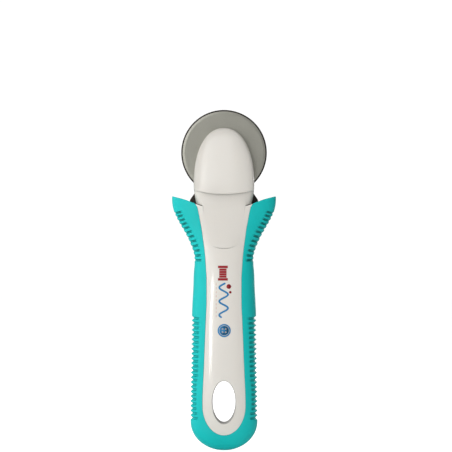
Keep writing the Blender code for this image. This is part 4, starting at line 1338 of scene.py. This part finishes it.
# ------------------------------------------------------------------ stage, light and camera
# name: place, height aimed at on the Z axis, width, height, power in watts
LIGHTS = {
    "key": ((-0.62, -0.80, 0.55), 0.10, 0.9, 0.9, 4.95),
    "cover_key": ((-0.30, -0.98, 0.45), 0.15, 0.9, 0.9, 4.3),
    "strip": ((-0.142, -0.70, 0.066), 0.07, 0.040, 0.125, 0.58),
    "rest": ((-0.15, -0.55, 0.50), 0.12, 0.30, 0.30, 0.56),
    "dome": ((-0.33, -0.62, 0.135), 0.15, 0.24, 0.20, 0.30),
    "front": ((0.42, -0.85, 0.30), 0.15, 0.8, 0.8, 0.35),
    "rim": ((-0.85, -0.12, 0.16), 0.13, 0.12, 0.5, 1.2),
    "fill": ((0.8, -0.6, 0.25), 0.10, 0.7, 0.7, 0.26),
    "back": ((0.35, 0.85, 0.5), 0.10, 0.7, 0.7, 4.0),
}
# Lights that fall on these pieces only.
LIT_ONLY = {
    "strip": ("front_shell_skin", "front_grip_skin", "rear_grip_skin"),
    "rest": ("thumb_rest_skin",),
    "dome": ("head_cover_skin",),
    "front": ("head_cover_skin",),
    "cover_key": ("head_cover_skin",),
}
# Lights kept off one piece: the back light off the front shell, so that the wall of the hanging
# hole stays in shade, and the side and key lights off the cover.
SPARED = {"back": "front_shell_skin", "rim": "head_cover_skin", "key": "head_cover_skin"}
LENS, SENSOR = 200.0, 36.0
VIEW_WIDTH = 0.24507         # metres across the view at the point aimed at
AIM = (1.08, -4.0, 121.85)   # millimetres


def build_floor():
    bm = bmesh.new()
    bmesh.ops.create_circle(bm, cap_ends=True, segments=96, radius=3.0)
    floor = bpy.data.objects.new("floor", bpy.data.meshes.new("floor"))
    bm.to_mesh(floor.data)
    bm.free()
    scene.collection.objects.link(floor)
    floor.location = (0, 0, -0.0012)
    pale = bpy.data.materials.new("pale_floor")
    pale.use_nodes = True
    tree = pale.node_tree
    # Seen by the camera it is lifted to white, so that it meets the background without a line.
    ray = add_node(tree, "ShaderNodeLightPath")
    lift = add_node(tree, "ShaderNodeMath", {0: ray.outputs["Is Camera Ray"], 1: 0.72},
                    operation="MULTIPLY")
    fill(tree, tree.nodes["Principled BSDF"], {
        "Base Color": (0.90, 0.90, 0.90, 1),
        "Roughness": 0.9,
        "Specular IOR Level": 0.0,
        "Emission Color": (1, 1, 1, 1),
        "Emission Strength": lift.outputs[0],
    })
    floor.data.materials.append(pale)


def build_world():
    """White to the camera; the light it gives is a dimmer room, brighter on the left."""
    world = bpy.data.worlds.new("studio")
    scene.world = world
    world.use_nodes = True
    tree = world.node_tree
    tree.nodes.clear()
    out = add_node(tree, "ShaderNodeOutputWorld")
    seen = add_node(tree, "ShaderNodeBackground", {"Color": (1, 1, 1, 1), "Strength": 1.05})
    # The strength here only holds if the ramp below is unlinked.
    room = add_node(tree, "ShaderNodeBackground",
                    {"Color": (1.0, 0.995, 0.985, 1), "Strength": 0.36})
    ray = add_node(tree, "ShaderNodeLightPath")
    mixer = add_node(tree, "ShaderNodeMixShader", {
        "Fac": ray.outputs["Is Camera Ray"], 1: room.outputs[0], 2: seen.outputs[0]})
    fill(tree, out, {"Surface": mixer.outputs[0]})
    coord = add_node(tree, "ShaderNodeTexCoord")
    axes = add_node(tree, "ShaderNodeSeparateXYZ", {0: coord.outputs["Generated"]})
    ramp = add_node(tree, "ShaderNodeMapRange", {
        "From Min": -1.0, "From Max": 1.0, "To Min": 0.56, "To Max": 0.12,
        "Value": axes.outputs["X"]})
    fill(tree, room, {"Strength": ramp.outputs["Result"]})


def area_light(name, place, aim_z, width, height, power):
    data = bpy.data.lights.new(name, "AREA")
    data.shape = "RECTANGLE"
    data.size, data.size_y = width, height
    data.energy = power
    lamp = bpy.data.objects.new(name, data)
    scene.collection.objects.link(lamp)
    lamp.location = place
    toward = Vector((0, 0, aim_z)) - Vector(place)
    lamp.rotation_euler = toward.to_track_quat("-Z", "Y").to_euler()
    return lamp


def link_light(lamp, suffix, pieces):
    """Gives the lamp a collection of the pieces its light is linked to."""
    group = bpy.data.collections.new(lamp.name + suffix)
    for piece in pieces:
        group.objects.link(bpy.data.objects[piece])
    return group


def build_lights():
    lamps = {name: area_light(name, *row) for name, row in LIGHTS.items()}
    lamps["strip"].rotation_euler.rotate_axis("Z", math.radians(-15))
    for name in ("strip", "dome"):
        lamps[name].visible_camera = False
    for name, pieces in LIT_ONLY.items():
        group = link_light(lamps[name], "_receivers", pieces)
        lamps[name].light_linking.receiver_collection = group
    for name, piece in SPARED.items():
        group = link_light(lamps[name], "_spares", (piece,))
        group.collection_objects[0].light_linking.link_state = "EXCLUDE"
        lamps[name].light_linking.receiver_collection = group


def build_camera():
    data = bpy.data.cameras.new("camera")
    data.lens = LENS
    data.sensor_width = SENSOR
    data.clip_start, data.clip_end = 0.01, 20.0
    camera = bpy.data.objects.new("camera", data)
    scene.collection.objects.link(camera)
    camera.location = Vector(AIM) * MM + Vector((0, -VIEW_WIDTH * LENS / SENSOR, 0))
    camera.rotation_euler = (math.radians(90), 0, 0)
    scene.camera = camera


# ------------------------------------------------------------------ build
make_materials()
build_grip(FRONT, "front_grip_skin", "front_grip")
build_grip(BACK, "rear_grip_skin", "rear_grip")
build_front_shell()
build_rear_shell()
build_rest()
build_arm_plate()
build_cover()
build_blade()
build_guard()
build_pad()
build_knob()
build_stud()
dress_kept_nodes()
build_print()

scene.view_settings.view_transform = "Standard"
scene.view_settings.look = "None"
scene.view_settings.exposure = 0.0
scene.view_settings.gamma = 1.0
build_floor()
build_world()
build_lights()
build_camera()
